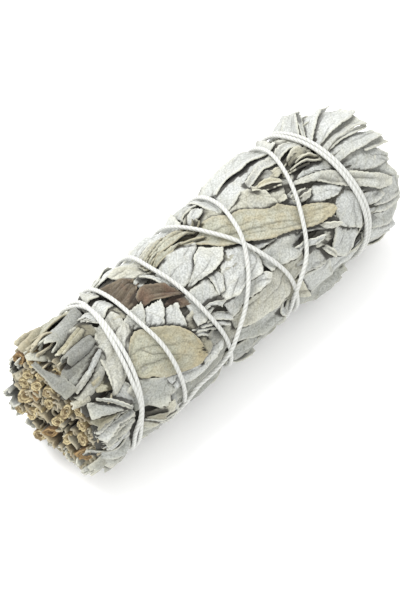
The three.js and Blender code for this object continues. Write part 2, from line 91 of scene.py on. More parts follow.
@dataclass(frozen=True)
class Leaf:
    """One leaf: its two edges on the skin from root to tip, and how it is shaped and coloured. Lengths are in
    millimetres and angles in degrees. A leaf that stands free of the skin has a width and a tip in place of
    edges. Curl is in radians from the middle to an edge, and roll is how high one edge turns up, by chance
    where it is None. Shade goes from -1 for dull to 1 for pale; warm, dim and age go from 0 to 1. Dim paints
    the leaf darker: painted shade where a leaf stands for a gap, lies in a hollow or lies low on the flank,
    and a darker tone on a few others."""

    left: tuple[Point, ...] = ()
    right: tuple[Point, ...] = ()
    width: float = 0.0
    tip: Tip = Tip.ROUND
    lift: float = 0.0
    fold: float = 0.0
    curl: float = 0.0
    crumple: float = 0.13
    hem: float = 0.14
    sink: float = 0.8
    grow: float = 0.35
    shade: float = 0.0
    warm: float = 0.0
    dim: float = 0.0
    age: float = 0.0
    rib: float = 0.2
    ragged: float = 0.15
    flare: float = 0.0
    roll: float | None = None
    creases: int = 2
    pleat: float = 0.0
    spacing: float = 0.36


@dataclass
class Blade:
    """A leaf once it is laid: its place on the skin and its look, all on one grid."""

    x: Array
    degrees: Array
    height: Array
    thickness: Array
    uv: Array
    paint: Array


@dataclass
class Shell:
    """A closed mesh ready for Blender: vertices in metres, quads, and values at each vertex."""

    vertices: Array
    quads: Array
    uv: Array
    paint: Array


def eased(t: Array) -> Array:
    """Eases 0 to 1: three squares less two cubes."""
    return t * t * (3.0 - 2.0 * t)


def out_at(turn: float) -> Array:
    """The direction out from the axis at an angle round the bundle, in radians."""
    return np.array([0.0, -math.sin(turn), math.cos(turn)])


def grid_noise(shape: tuple[int, int], cells: tuple[float, float], rng: np.random.Generator) -> Array:
    """Smooth noise on a grid: a random height at each corner of a coarse mesh, eased in between.

    Args:
        shape: rows and columns of the grid.
        cells: how many coarse cells there are along each.
        rng: the seeded generator.

    Returns:
        An array of that shape, about -2 to 2.
    """
    rows, columns = max(1, round(cells[0])), max(1, round(cells[1]))
    corners = rng.standard_normal((rows + 2, columns + 2))
    a = np.linspace(0.0, rows, shape[0])
    b = np.linspace(0.0, columns, shape[1])
    i, j = a.astype(int), b.astype(int)
    f, g = eased(a - i)[:, None], eased(b - j)[None, :]
    near = corners[i][:, j] * (1 - g) + corners[i][:, j + 1] * g
    far = corners[i + 1][:, j] * (1 - g) + corners[i + 1][:, j + 1] * g
    return near * (1 - f) + far * f


def curve_through(points: Array, step: float) -> Array:
    """A smooth curve through points, at equal steps: a cubic between neighbours, whose slope at each point
    is the mean of the runs on its two sides, where the shorter run weighs more.

    Args:
        points: n points of any dimension.
        step: the distance from one sample to the next.

    Returns:
        The samples, first and last point among them.
    """
    gaps = np.linalg.norm(np.diff(points, axis=0), axis=1)
    at = np.concatenate([[0.0], np.cumsum(gaps)])
    slopes = np.gradient(points, at, axis=0)
    where = np.linspace(0.0, at[-1], max(2, int(at[-1] / step) + 1))
    k = np.clip(np.searchsorted(at, where, side="right") - 1, 0, len(at) - 2)
    gap = gaps[k][:, None]
    t = (where - at[k])[:, None] / gap
    start = points[k] * (2 * t**3 - 3 * t**2 + 1) + slopes[k] * gap * (t**3 - 2 * t**2 + t)
    end = points[k + 1] * (3 * t**2 - 2 * t**3) + slopes[k + 1] * gap * (t**3 - t**2)
    return start + end


@dataclass(frozen=True)
class Skin:
    """The surface over the leaves: a radius for each place along the bundle, pressed flat where it lies."""

    # Place along the bundle and radius
    stations: tuple[Point, ...] = (
        (-51, 15.6), (-45, 16.9), (-38, 17.0), (-25, 17.5), (-12, 17.5), (0, 17.3),
        (15, 17.8), (30, 18.0), (40, 17.9), (46, 18.2), (50, 17.6), (54, 16.5),
    )
    axis_height: float = 17.0
    settled: float = 0.9
    settled_spread: float = 6.0
    mean_radius: float = 17.5
    floor_ease: float = 0.25

    def radius(self, x: Array) -> Array:
        """The radius at a place along the bundle, eased from station to station."""
        at, r = np.array(self.stations, float).T
        k = np.clip(np.searchsorted(at, x, side="right") - 1, 0, len(at) - 2)
        t = np.clip((x - at[k]) / (at[k + 1] - at[k]), 0.0, 1.0)
        return r[k] + (r[k + 1] - r[k]) * eased(t)

    def place(self, x: Array, degrees: Array, height: Array) -> Array:
        """Points on or near the skin: the radius plus the height, turned round the axis, and eased up from
        the floor by half the sum of z and the root of z squared and the ease squared.

        Args:
            x: place along the bundle.
            degrees: angle round it.
            height: over the skin, less than 0 inside.

        Returns:
            Points in millimetres, with a last axis of three.
        """
        turn = np.radians(degrees)
        down = np.maximum(0.0, -np.cos(turn)) ** self.settled_spread
        r = self.radius(x) * (1 - down) + (self.axis_height + self.settled) * down + height
        z = self.axis_height + r * np.cos(turn)
        z = 0.5 * (z + np.hypot(z, self.floor_ease))
        return np.stack(np.broadcast_arrays(x, -r * np.sin(turn), z), -1)

    def read(self, points: Array) -> tuple[Array, Array, Array]:
        """The place along the bundle, the angle and the height over the skin of points off the floor."""
        x, y, z = np.moveaxis(points, -1, 0)
        degrees = np.degrees(np.arctan2(-y, z - self.axis_height))
        return x, degrees, np.hypot(y, z - self.axis_height) - self.radius(x)


@dataclass(frozen=True)
class StringRoute:
    """Where the string runs on the skin, up the bundle and back."""

    # Place along the bundle and degrees round it
    points: tuple[Point, ...] = (
        (-34.5, -106), (-32, -86), (-29.3, -66), (-28, -50), (-29, -20), (-30.8, 3), (-32.4, 23), (-33.7, 40),
        (-35.4, 66), (-38.9, 84), (-39, 115), (-36, 160), (-30.5, 210), (-25.5, 255), (-23.2, 300),
        (-23.3, 335), (-23.4, 366), (-22.6, 395), (-22.9, 425), (-23.4, 452), (-23.6, 485), (-21.5, 525),
        (-17, 575), (-13, 625), (-10.6, 665), (-11.1, 700), (-10.2, 728), (-9.2, 757), (-8, 786), (-7.8, 812),
        (-6.5, 850), (-4, 900), (-1, 955), (0.8, 1005), (2.3, 1042), (4.8, 1067), (8.8, 1094), (11.6, 1116),
        (13.7, 1136), (14.6, 1171), (16, 1210), (21, 1260), (28.5, 1310), (35, 1350), (38.2, 1380),
        (38.8, 1407), (39.9, 1437), (40.3, 1470), (39.9, 1502), (38.6, 1524), (37, 1550), (37, 1590),
        (38.5, 1650), (39.4, 1710), (39.6, 1750), (40.95, 1797), (41.3, 1830), (40.95, 1862), (39.7, 1884),
        (38, 1912), (35.5, 1950), (33.5, 2000), (32.2, 2050), (33.4, 2102), (32.6, 2127), (28.9, 2162),
        (24.9, 2188), (20.5, 2213), (14.8, 2230), (11.8, 2262), (10.5, 2310), (11.5, 2370), (12.4, 2430),
        (13.2, 2474), (12.5, 2502), (9.3, 2532), (4.8, 2557), (0.4, 2573), (-5.8, 2588), (-9.2, 2600),
        (-13.5, 2605), (-19.6, 2607), (-24, 2618), (-27.5, 2650), (-29, 2700), (-29.8, 2760), (-30.3, 2820),
        (-28.6, 2850), (-29.9, 2883), (-31.5, 2908), (-34, 2936), (-37, 2962), (-38, 3000), (-37.5, 3060),
        (-35.6, 3118),
    )
    # Degrees along the route where the string rides over itself, and how high
    lifts: tuple[Point, ...] = ((2588, 1.1), (2530, 1.1), (2226, 1.0), (2612, 0.5))
    crossing_reach: float = 2.6
    radius: float = 0.52
    rise: float = 0.5
    clear: float = 0.3

    def track(self, skin: Skin, step: float) -> Array:
        """The route on the unrolled skin: place along the bundle and length round it, at equal steps."""
        points = np.array(self.points, float)
        points[:, 1] = np.radians(points[:, 1]) * skin.mean_radius
        return curve_through(points, step)

    def middle(self, skin: Skin, step: float) -> Array:
        """The string's middle line in millimetres: over the skin, with a hump of a bell curve where it rides
        over itself, and clear of the floor."""
        track = self.track(skin, step)
        degrees = np.degrees(track[:, 1] / skin.mean_radius)
        height = np.full(len(track), self.rise)
        for centre, lift in self.lifts:
            away = np.radians(degrees - centre) * skin.mean_radius / self.crossing_reach
            height += lift * np.exp(-(away**2) / 2)
        points = skin.place(track[:, 0], degrees, height)
        over = points[:, 2] - self.radius - self.clear
        points[:, 2] += 0.5 * (np.hypot(over, self.clear) - over)
        return points


@dataclass
class ReliefMap:
    """Heights of what has been laid so far, on a map of the skin that closes round the bundle."""

    skin: Skin
    start: float = -58.0
    end: float = 60.0
    step: float = 0.35
    ground: float = -3.0
    height: Array = field(init=False)

    def __post_init__(self) -> None:
        """Starts from bare ground."""
        self.round = int(2 * math.pi * self.skin.mean_radius / self.step)
        self.rows = int((self.end - self.start) / self.step)
        self.height = np.full((self.rows, self.round), self.ground)

    def cell(self, x: Array, degrees: Array) -> tuple[Array, Array]:
        """The place on the map as row and column, with fractions."""
        row = np.clip((x - self.start) / self.step, 0, self.rows - 1.001)
        return row, np.mod(degrees / 360.0, 1.0) * self.round

    def sample(self, values: Array, x: Array, degrees: Array) -> Array:
        """Reads a map of values between its cells, by the share of each of the four cells around."""
        row, column = self.cell(x, degrees)
        i, j = row.astype(int), column.astype(int) % self.round
        f, g = row - i, column - np.floor(column)
        k = (j + 1) % self.round
        near = values[i, j] * (1 - g) + values[i, k] * g
        far = values[i + 1, j] * (1 - g) + values[i + 1, k] * g
        return near * (1 - f) + far * f

    def cover(self, x: Array, degrees: Array, top: Array) -> None:
        """Raises the map to points that lie over it."""
        row, column = self.cell(x, degrees)
        np.maximum.at(self.height, (row.astype(int), column.astype(int) % self.round), top)

    def lay(self, x: Array, degrees: Array, top: Array) -> None:
        """Raises the map to the top of a leaf, whose grid is first made twice as fine."""
        self.cover(*(self.twice(values) for values in (x, degrees, top)))

    @staticmethod
    def twice(values: Array) -> Array:
        """A grid with the means of neighbours set in between, both ways."""
        for _ in range(2):
            wide = np.empty((2 * len(values) - 1, values.shape[1]))
            wide[::2] = values
            wide[1::2] = 0.5 * (values[1:] + values[:-1])
            values = wide.T
        return values

    def smoothed(self, first: float, last: float, passes: int) -> Array:
        """The height, smoothed by passes of quarter, half, quarter both ways. Past first and last, where
        the leaves run out, it goes on as it is there."""
        keep = np.clip(np.arange(self.rows), *(int((x - self.start) / self.step) for x in (first, last)))
        level = self.height[keep]
        for _ in range(passes):
            level = 0.5 * level + 0.25 * (np.roll(level, 1, 1) + np.roll(level, -1, 1))
            ends = np.concatenate([level[:1], level, level[-1:]])
            level = 0.5 * level + 0.25 * (ends[2:] + ends[:-2])
        return level

    def spread(self) -> Array:
        """The height with each cell raised to the highest of the nine round it, and then to somewhat less
        than the highest of the nine round that."""
        level = self.height
        for drop in (0.0, 0.38):
            wide = np.maximum(level, np.maximum(np.roll(level, 1, 1), np.roll(level, -1, 1)) - drop)
            ends = np.concatenate([wide[:1], wide, wide[-1:]])
            level = np.maximum(wide, np.maximum(ends[2:], ends[:-2]) - drop)
        return level

    def distance(self, track: Array, reach: float) -> Array:
        """How far each cell lies from a track on the unrolled skin, up to reach."""
        away = np.full((self.rows, self.round), reach)
        cells = int(reach / self.step)
        offset = np.arange(-cells, cells + 1)
        row = (track[:, 0] - self.start) / self.step
        column = track[:, 1] / self.step
        for di in offset:
            i = np.round(row).astype(int) + di
            inside = (i >= 0) & (i < self.rows)
            for dj in offset:
                j = np.round(column).astype(int) + dj
                gap = np.hypot(i - row, j - column) * self.step
                np.minimum.at(away, (i[inside], j[inside] % self.round), gap[inside])
        return away


def shell_of(middle: Array, thickness: Array, uv: Array, paint: Array) -> Shell:
    """Gives a surface its thickness: half of it out along the surface's normal and half in, with a rim.

    Args:
        middle: points of the surface on a grid, in millimetres.
        thickness: at each point.
        uv: two values at each point.
        paint: four values at each point.

    Returns:
        The closed shell in metres. Its outer face is the one that looks against rows crossed with columns.
    """
    rows, columns = middle.shape[:2]
    along, across = np.gradient(middle, axis=0), np.gradient(middle, axis=1)
    normal = np.cross(across, along)
    normal /= np.maximum(np.linalg.norm(normal, axis=-1, keepdims=True), 1e-9)
    half = 0.5 * thickness[..., None] * normal
    outer, inner = middle + half, middle - half
    inner[..., 2] = np.maximum(inner[..., 2], 0.02)
    outer[..., 2] = np.maximum(outer[..., 2], 0.02)
    ids = np.arange(rows * columns).reshape(rows, columns)
    face = np.stack([ids[:-1, :-1], ids[:-1, 1:], ids[1:, 1:], ids[1:, :-1]], -1).reshape(-1, 4)
    rim = np.concatenate([ids[:-1, 0], ids[-1, :-1], ids[:0:-1, -1], ids[0, :0:-1]])
    ahead = np.roll(rim, -1)
    under = rows * columns
    edge = np.stack([rim, ahead, ahead + under, rim + under], -1)
    quads = np.concatenate([face, face[:, ::-1] + under, edge])
    vertices = np.concatenate([outer.reshape(-1, 3), inner.reshape(-1, 3)]) * MM
    return Shell(vertices, quads, np.tile(uv.reshape(-1, 2), (2, 1)), np.tile(paint.reshape(-1, 4), (2, 1)))


def tube_of(points: Array, uv: Array, paint: Array, turned: bool = False) -> Shell:
    """A tube from rings of points.

    Args:
        points: in millimetres, one ring in each row.
        uv: two values at each point.
        paint: four values at each point.
        turned: whether the rings run the other way round, so that the faces still look out.

    Returns:
        The tube in metres.
    """
    rows, around = points.shape[:2]
    ids = np.arange(rows * around).reshape(rows, around)
    ahead = np.roll(ids, -1, axis=1)
    quads = np.stack([ids[:-1], ahead[:-1], ahead[1:], ids[1:]], -1).reshape(-1, 4)
    if turned:
        quads = quads[:, [0, 3, 2, 1]]
    return Shell(points.reshape(-1, 3) * MM, quads, uv.reshape(-1, 2), paint.reshape(-1, 4))


def add_piece(name: str, shells: list[Shell], material: bpy.types.Material, node: str = "sage_leaves") -> bpy.types.Object:
    """Joins shells in one object at the origin, which rides on the bundle and stands for a node.

    Args:
        name: the piece's name.
        shells: its closed meshes.
        material: its finish.
        node: the CAD node that it replaces.

    Returns:
        The piece.
    """
    counts = np.cumsum([0] + [len(shell.vertices) for shell in shells])
    vertices = np.concatenate([shell.vertices for shell in shells])
    quads = np.concatenate([shell.quads + first for shell, first in zip(shells, counts)]).astype(np.int32)
    mesh = bpy.data.meshes.new(name)
    mesh.vertices.add(len(vertices))
    mesh.vertices.foreach_set("co", vertices.astype(np.float32).ravel())
    mesh.loops.add(quads.size)
    mesh.loops.foreach_set("vertex_index", quads.ravel())
    mesh.polygons.add(len(quads))
    mesh.polygons.foreach_set("loop_start", np.arange(0, quads.size, 4, dtype=np.int32))
    mesh.update(calc_edges=True)
    uv = np.concatenate([shell.uv for shell in shells])[quads.ravel()].astype(np.float32)
    mesh.uv_layers.new(name="surface").data.foreach_set("uv", uv.ravel())
    paint = np.concatenate([shell.paint for shell in shells]).astype(np.float32)
    mesh.attributes.new("paint", "FLOAT_COLOR", "POINT").data.foreach_set("color", paint.ravel())
    mesh.shade_smooth()
    mesh.materials.append(material)
    piece = bpy.data.objects.new(name, mesh)
    bpy.context.scene.collection.objects.link(piece)
    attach(piece, "root")
    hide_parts(node)
    return piece


def swept(root: Point, middle: Point, point: Point, width: float, tip: Tip = Tip.ROUND,
          **looks: object) -> Leaf:
    """A leaf along a bent centre line.

    Args:
        root: where it starts, in millimetres and degrees.
        middle: where its first and last stretch would meet if they ran straight on.
        point: where it ends.
        width: at the widest.
        tip: how it ends.
        **looks: the leaf's other values.

    Returns:
        The leaf with its two edges.
    """
    to_mm = math.radians(1.0) * Skin.mean_radius
    ends = np.array([root, middle, point], float) * [1.0, to_mm]
    t = np.linspace(0.0, 1.0, len(tip.value))[:, None]
    line = (1 - t) ** 2 * ends[0] + 2 * t * (1 - t) * ends[1] + t**2 * ends[2]
    tangent = (1 - t) * (ends[1] - ends[0]) + t * (ends[2] - ends[1])
    tangent /= np.linalg.norm(tangent, axis=1, keepdims=True)
    side = np.stack([-tangent[:, 1], tangent[:, 0]], -1) * 0.5 * width * np.array(tip.value)[:, None]
    edges = [tuple(map(tuple, (line + way * side) / [1.0, to_mm])) for way in (-1.0, 1.0)]
    return Leaf(*edges, **{"sink": 2.2, "grow": 0.0, **looks})


@dataclass
class LeafHeap:
    """The leaves on the skin: laid in order, then drawn in along the string. Lengths are in millimetres."""

    skin: Skin
    route: StringRoute
    seed: int = 411
    thickness: float = 0.46
    air: float = 0.1
    tooth_pitch: float = 1.25
    tooth_height: float = 0.2
    nick_reach: float = 0.5
    rib_reach: float = 0.4
    crease_reach: float = 0.24
    crease_depth: float = 0.28
    # How much painted shade goes into creases and pleat valleys
    crease_painted_shade: float = 0.55
    pleat_pitch: float = 1.5
    crest: float = 0.95
    valley: float = -0.5
    waist: float = 3.4
    string_seat: float = -0.22
    passes: int = 78
    stiffness: float = 0.85
    touching: float = 75.0
    give_passes: int = 16
    # Depths below what lies above at which the painted shade of the gaps starts, and over which it deepens to
    # full
    gap_start: float = 0.04
    gap_reach: float = 0.42
    free_gap_start: float = 0.25
    # Places along the bundle between which the painted shade in the gaps fades, and its share at each
    fan_fade: tuple[Point, Point] = ((42.0, 50.0), (0.9, 0.4))
    # Where the laid leaves run out, how far the string is felt, and the step of its track
    leaf_ends: Point = (-43.0, 46.0)
    string_reach: float = 8.0
    track_step: float = 0.3
    # How steeply the leaves may rise from the string, and from how far off its middle line
    flanks: tuple[Point, Point] = ((1.1, 0.55), (9.0, 2.0))
    # Place along, angle, reach along, reach round in degrees, depth
    dents: tuple[tuple[float, float, float, float, float], ...] = (
        (-40.0, -10.0, 5.0, 34.0, 2.1), (-44.4, -9.0, 3.0, 14.0, 2.4),
    )

    def __post_init__(self) -> None:
        """Makes the empty map."""
        self.rng = np.random.default_rng(self.seed)
        self.relief = ReliefMap(self.skin)
        self.blades: dict[str, list[Blade]] = {}
        self.order: list[Blade] = []

    def outline(self, leaf: Leaf, t: Array, half: Array, length: float) -> Array:
        """Half the width along both edges: as given, but with a slow waver, a nick or two, and the small
        round teeth of a sage leaf."""
        waver = 1.0 + 0.06 * grid_noise((len(t), 2), (length / 3.0, 1), self.rng)
        teeth = np.abs(np.sin(np.pi * t * length / self.tooth_pitch + self.rng.uniform(0, 3, 2)))
        nick = self.rng.uniform(0.2, 0.95, 2)
        nicks = (0.15 + leaf.ragged) * 0.4 * np.exp(-(((t - nick) * length / self.nick_reach) ** 2))
        return np.maximum(half * waver + self.tooth_height * (teeth - 0.5) - nicks, 0.1)

    def section(self, leaf: Leaf, t: Array, u: Array, half: Array, length: float) -> tuple[Array, ...]:
        """Where each point of the blade lies across the centre line and over it.

        Args:
            leaf: the leaf.
            t: 0 at the root to 1 at the tip, down the rows.
            u: -1 at one edge to 1 at the other, along the columns.
            half: half the width in each row.
            length: of the centre line.

        Returns:
            The length over the blade, the place across, the rise, and how much each point lies in a crease.
        """
        halves = self.outline(leaf, t, half, length)
        width = 2 * float(half.max())
        arc = u * np.where(u < 0, halves[:, :1], halves[:, 1:])
        bend = leaf.curl * (0.75 + 0.25 * t) * u
        across = arc * np.sinc(bend / np.pi)
        rise = arc * 0.5 * bend * np.sinc(0.5 * bend / np.pi) ** 2
        rise -= np.minimum(0.0, rise.min(axis=1, keepdims=True))
        roll = self.rng.normal(0.0, 0.35) if leaf.roll is None else leaf.roll
        rise = rise + leaf.fold * np.abs(arc) + abs(roll) * (0.5 + 0.5 * np.sign(roll) * u) ** 1.5
        shape = arc.shape
        pillows = grid_noise(shape, (length / 5.0, width / 4.0), self.rng)
        pleats = grid_noise(shape, (length / 9.0, width / 1.3), self.rng)
        puckers = grid_noise(shape, (length / 1.6, width / 1.6), self.rng)
        rib = -leaf.rib * np.exp(-((arc / self.rib_reach) ** 2)) * (1 - 0.6 * t)
        turned = 0.3 + 0.9 * grid_noise((shape[0], 2), (length / 4.0, 1), self.rng)
        hem = leaf.hem * np.abs(u) ** 5 * np.where(u < 0, turned[:, :1], turned[:, 1:])
        lines = np.zeros(shape)
        for _ in range(leaf.creases):
            waver = 0.3 * grid_noise((shape[0], 1), (length / 2.5, 1), self.rng)
            middle = width * (self.rng.uniform(-0.4, 0.4) + self.rng.normal(0, 0.18) * (t - 0.5)) + waver
            span = np.exp(-(((t - self.rng.uniform(0.2, 1.0)) / self.rng.uniform(0.15, 0.4)) ** 2))
            away = arc - middle
            lines = np.maximum(lines, np.exp(-((away / self.crease_reach) ** 2)) * span)
            rise = rise + self.rng.normal(0, 0.2) * np.tanh(away / 0.22) * span
        waves = np.sin(2 * np.pi * arc / self.pleat_pitch + 1.6 * pleats + 1.2 * pillows)
        rise = rise + leaf.pleat * waves - self.crease_depth * lines + rib + hem
        # Pleat valleys join the creases, which are painted with shade
        lines = np.maximum(lines, min(1.0, 5 * leaf.pleat) * np.clip(-1.6 * waves - 0.5, 0, 1))
        return arc, across, rise + leaf.crumple * (1.2 * pillows + 0.5 * pleats + 0.25 * puckers), lines

    def looks(self, leaf: Leaf, t: Array, u: Array, arc: Array, length: float) -> tuple[Array, Array]:
        """The UV map in millimetres, shifted by chance, and the paint: shade, darkness (painted shade, set
        later), edge and warmth.
        """
        place = np.broadcast_to(t * length, arc.shape) + self.rng.uniform(0, 50)
        uv = np.stack([arc + self.rng.uniform(20, 50), place], -1)
        shade = np.full_like(arc, 0.5 + 0.5 * leaf.shade + self.rng.normal(0, 0.09))
        edge = np.broadcast_to(np.maximum(np.abs(u) ** 8, t**18), arc.shape)
        warm = np.clip(leaf.warm + self.rng.normal(0, 0.06) + leaf.age * t**2 * np.ones_like(arc), 0, 1)
        return uv, np.stack([shade, np.zeros_like(arc), edge, warm], -1)

    @staticmethod
    def grid(leaf: Leaf, length: float, width: float) -> tuple[Array, Array]:
        """Rows from root to tip and columns from edge to edge, at about the leaf's spacing."""
        rows = int(np.clip(length / leaf.spacing / 1.2, 8, 110))
        columns = 2 * int(np.clip(width / leaf.spacing / 2, 3, 17)) + 1
        return np.linspace(0.0, 1.0, rows)[:, None], np.linspace(-1.0, 1.0, columns)[None, :]

    def edge_taper(self, u: Array) -> Array:
        """The blade's thickness, which thins to two thirds at the edges."""
        return self.thickness * (0.67 + 0.33 * np.sqrt(1.0 - u**8))

    def edge(self, points: tuple[Point, ...], t: Array) -> Array:
        """Points at shares t of the length of a line of straight runs, with its corners eased."""
        line = np.array(points, float)
        line[:, 1] = np.radians(line[:, 1]) * self.skin.mean_radius
        at = np.concatenate([[0.0], np.cumsum(np.linalg.norm(np.diff(line, axis=0), axis=1))])
        where = t[:, 0] * at[-1]
        run = np.stack([np.interp(where, at, line[:, k]) for k in (0, 1)], -1)
        for _ in range(3):
            run[1:-1] = 0.5 * run[1:-1] + 0.25 * (run[2:] + run[:-2])
        return run

    def blade(self, leaf: Leaf) -> Blade:
        """Works out one leaf and lays it on the map.

        Its two edges give the middle of each row and half its width. Across the row the blade bends as an
        arc, plus a fold at the midrib, and its surface has slow pillows, fine pleats along it, creases, a rib
        and a turned hem. It rests on what lies there.

        Args:
            leaf: the leaf to lay.

        Returns:
            The blade on its grid.
        """
        trial = np.linspace(0.0, 1.0, 12)[:, None]
        left, right = self.edge(leaf.left, trial), self.edge(leaf.right, trial)
        length = float(np.linalg.norm(np.diff(0.5 * (left + right), axis=0), axis=1).sum())
        width = float(np.linalg.norm(right - left, axis=1).max()) + 2 * leaf.grow
        t, u = self.grid(leaf, length, width)
        left, right = self.edge(leaf.left, t), self.edge(leaf.right, t)
        line, side = 0.5 * (left + right), 0.5 * (right - left)
        half = np.linalg.norm(side, axis=1, keepdims=True)
        side /= np.maximum(half, 0.02)
        along = np.gradient(line, axis=0)
        along /= np.maximum(np.linalg.norm(along, axis=1, keepdims=True), 1e-6)
        arc, across, rise, lines = self.section(leaf, t, u, half + leaf.grow, length)
        torn = leaf.grow - leaf.ragged * np.abs(grid_noise((1, arc.shape[1]), (1, width / 0.8), self.rng))
        torn = torn * t**6
        x, turn = (line[:, k] + across * side[:, k] + torn * along[:, k] for k in (slice(0, 1), slice(1, 2)))
        degrees = np.degrees(turn / self.skin.mean_radius)
        floor = self.rest(self.relief.sample(self.relief.height, x, degrees), t, u)
        thickness = self.edge_taper(u) * np.ones_like(x)
        height = floor + 0.5 * thickness + self.air + leaf.lift + rise
        height = height + leaf.flare * t**2 - leaf.sink * (1 - t) ** 3
        self.relief.lay(x, degrees, height + 0.5 * thickness)
        uv, paint = self.looks(leaf, t, u, arc, length)
        # Darkness paint: the leaf's dim, and painted shade in its creases
        paint[..., 1] = np.maximum(leaf.dim, self.crease_painted_shade * lines)
        return Blade(x, degrees, height, thickness, uv, paint)

    def free_leaf(self, leaf: Leaf, root: Array, tip: Array, bulge: Array, dark: float, fade: float) -> Shell:
        """A leaf that stands in the open among others, such as at the bundle's ends.

        Args:
            leaf: its width, section and looks.
            root: where it starts, in millimetres.
            tip: where it ends.
            bulge: the side that the blade's back looks to; its centre line bows that way by the flare.
            dark: how dark the painted shade is deep inside.
            fade: how far from the tip, in millimetres, two thirds of that is reached.

        Returns:
            The closed leaf.
        """
        length = float(np.linalg.norm(tip - root))
        along = (tip - root) / length
        back = bulge - along * np.dot(bulge, along)
        back /= np.linalg.norm(back)
        side = np.cross(along, back)
        t, u = self.grid(leaf, length, leaf.width)
        half = 0.5 * leaf.width * np.interp(t, np.linspace(0, 1, len(leaf.tip.value)), leaf.tip.value)
        arc, across, rise, lines = self.section(leaf, t, u, half, length)
        torn = -leaf.ragged * np.abs(grid_noise((1, arc.shape[1]), (1, leaf.width / 0.8), self.rng)) * t**4
        out = leaf.flare * np.sin(np.pi * t) - rise
        run = t * length + torn
        points = root + run[..., None] * along + across[..., None] * side + out[..., None] * back
        uv, paint = self.looks(leaf, t, u, arc, length)
        # Painted shade that deepens from the tip towards the root, deep inside the heap
        deep = dark * (1 - np.exp(-(1 - t) * length / fade))
        # Darkness paint: the leaf's dim, painted shade deep inside, and painted shade in its creases
        paint[..., 1] = np.maximum(leaf.dim, np.maximum(deep, self.crease_painted_shade * lines))
        return shell_of(points, self.edge_taper(u) * np.ones_like(arc), uv, paint)

    def rest(self, support: Array, t: Array, u: Array) -> Array:
        """How a stiff dry blade rests on a surface.

        A gently bent sheet (a quadratic in both directions) is fitted to the surface by least squares, and
        raised until only a few high spots touch it. Where a spot stands higher, the blade gives way over it,
        as the higher of the two and the mean of the neighbours, many times over.

        Args:
            support: the heights below the blade, on its grid.
            t: 0 at the root to 1 at the tip, down the rows.
            u: -1 at one edge to 1 at the other, along the columns.

        Returns:
            The height of the blade's underside.
        """
        terms = [np.ones_like(support), t + 0 * u, t * t + 0 * u, u + 0 * t, u * t, u * u + 0 * t]
        basis = np.stack([term.ravel() for term in terms], -1)
        fit = (basis @ np.linalg.lstsq(basis, support.ravel(), rcond=None)[0]).reshape(support.shape)
        stiff = fit + np.percentile(support - fit, self.touching)
        sheet = low = np.maximum(support, self.stiffness * stiff + (1 - self.stiffness) * support)
        for _ in range(self.give_passes):
            wide = np.pad(sheet, 1, mode="edge")
            mean = 0.25 * (wide[:-2, 1:-1] + wide[2:, 1:-1] + wide[1:-1, :-2] + wide[1:-1, 2:])
            sheet = np.maximum(low, mean)
        return sheet

    def lay(self, group: str, leaves: list[Leaf]) -> None:
        """Lays leaves in order and keeps them under a group's name."""
        laid = [self.blade(leaf) for leaf in leaves]
        self.blades.setdefault(group, []).extend(laid)
        self.order.extend(laid)

    def paint_gap_shade(self, free: list[Shell]) -> None:
        """Paints shade into each free leaf and blade: dark where what was laid later covers it or ends close
        beside it, less so where a blade runs out into the open at the fan.

        Args:
            free: the free leaves that lie over all blades.
        """
        above = ReliefMap(self.skin, ground=-99.0)
        for shell in reversed(free):
            x, degrees, height = self.skin.read(shell.vertices / MM)
            depth = above.sample(above.spread(), x, degrees) - height
            # Painted shade on a free leaf where later free leaves lie over or close beside it
            painted_shade = np.clip((depth - self.free_gap_start) / self.gap_reach, 0.0, 1.0)
            shell.paint[:, 1] = np.maximum(shell.paint[:, 1], painted_shade)
            above.cover(x, degrees, height)
        for blade in reversed(self.order):
            crest = blade.height + 0.5 * blade.thickness
            depth = above.sample(above.spread(), blade.x, blade.degrees) - crest
            # Painted shade on a blade where later leaves lie over or close beside it
            painted_shade = np.clip((depth - self.gap_start) / self.gap_reach, 0.0, 1.0)
            painted_shade *= np.interp(blade.x, *self.fan_fade)
            blade.paint[..., 1] = np.maximum(blade.paint[..., 1], painted_shade)
            above.lay(blade.x, blade.degrees, crest)

    def draw_in(self) -> None:
        """Moves the heap so that its smoothed top swells between the turns of the string and sinks under
        them, as a crest less a bell curve of the distance, and sinks in each dent, as a bell curve too. By
        the string all that lies at one place goes down together until it passes under."""
        away = self.relief.distance(self.route.track(self.skin, self.track_step), self.string_reach)
        wanted = self.valley + (self.crest - self.valley) * (1 - np.exp(-((away / self.waist) ** 2)))
        x = self.relief.start + self.relief.step * np.arange(self.relief.rows)[:, None]
        degrees = 360.0 * np.arange(self.relief.round)[None, :] / self.relief.round
        for place, angle, reach, turn, depth in self.dents:
            off = np.mod(degrees - angle + 180.0, 360.0) - 180.0
            wanted = wanted - depth * np.exp(-(((x - place) / reach) ** 2) - (off / turn) ** 2)
        shift = wanted - self.relief.smoothed(*self.leaf_ends, self.passes)
        limit = np.full_like(away, self.string_seat)
        for steepness, start in self.flanks:
            limit += steepness * np.maximum(0.0, away - start)
        shift += np.minimum(0.0, limit - self.relief.spread() - shift)
        for blade in self.order:
            blade.height = blade.height + self.relief.sample(shift, blade.x, blade.degrees)

    def shells(self, group: str) -> list[Shell]:
        """The blades of a group as closed shells."""
        made = []
        for blade in self.blades[group]:
            middle = self.skin.place(blade.x, blade.degrees, blade.height)
            made.append(shell_of(middle, blade.thickness, blade.uv, blade.paint))
        return made


def srgb(code: str) -> tuple[float, float, float, float]:
    """A hex colour as linear red, green and blue, with full alpha."""
    parts = [int(code[k:k + 2], 16) / 255.0 for k in (1, 3, 5)]
    linear = [c / 12.92 if c <= 0.04045 else ((c + 0.055) / 1.055) ** 2.4 for c in parts]
    return (*linear, 1.0)


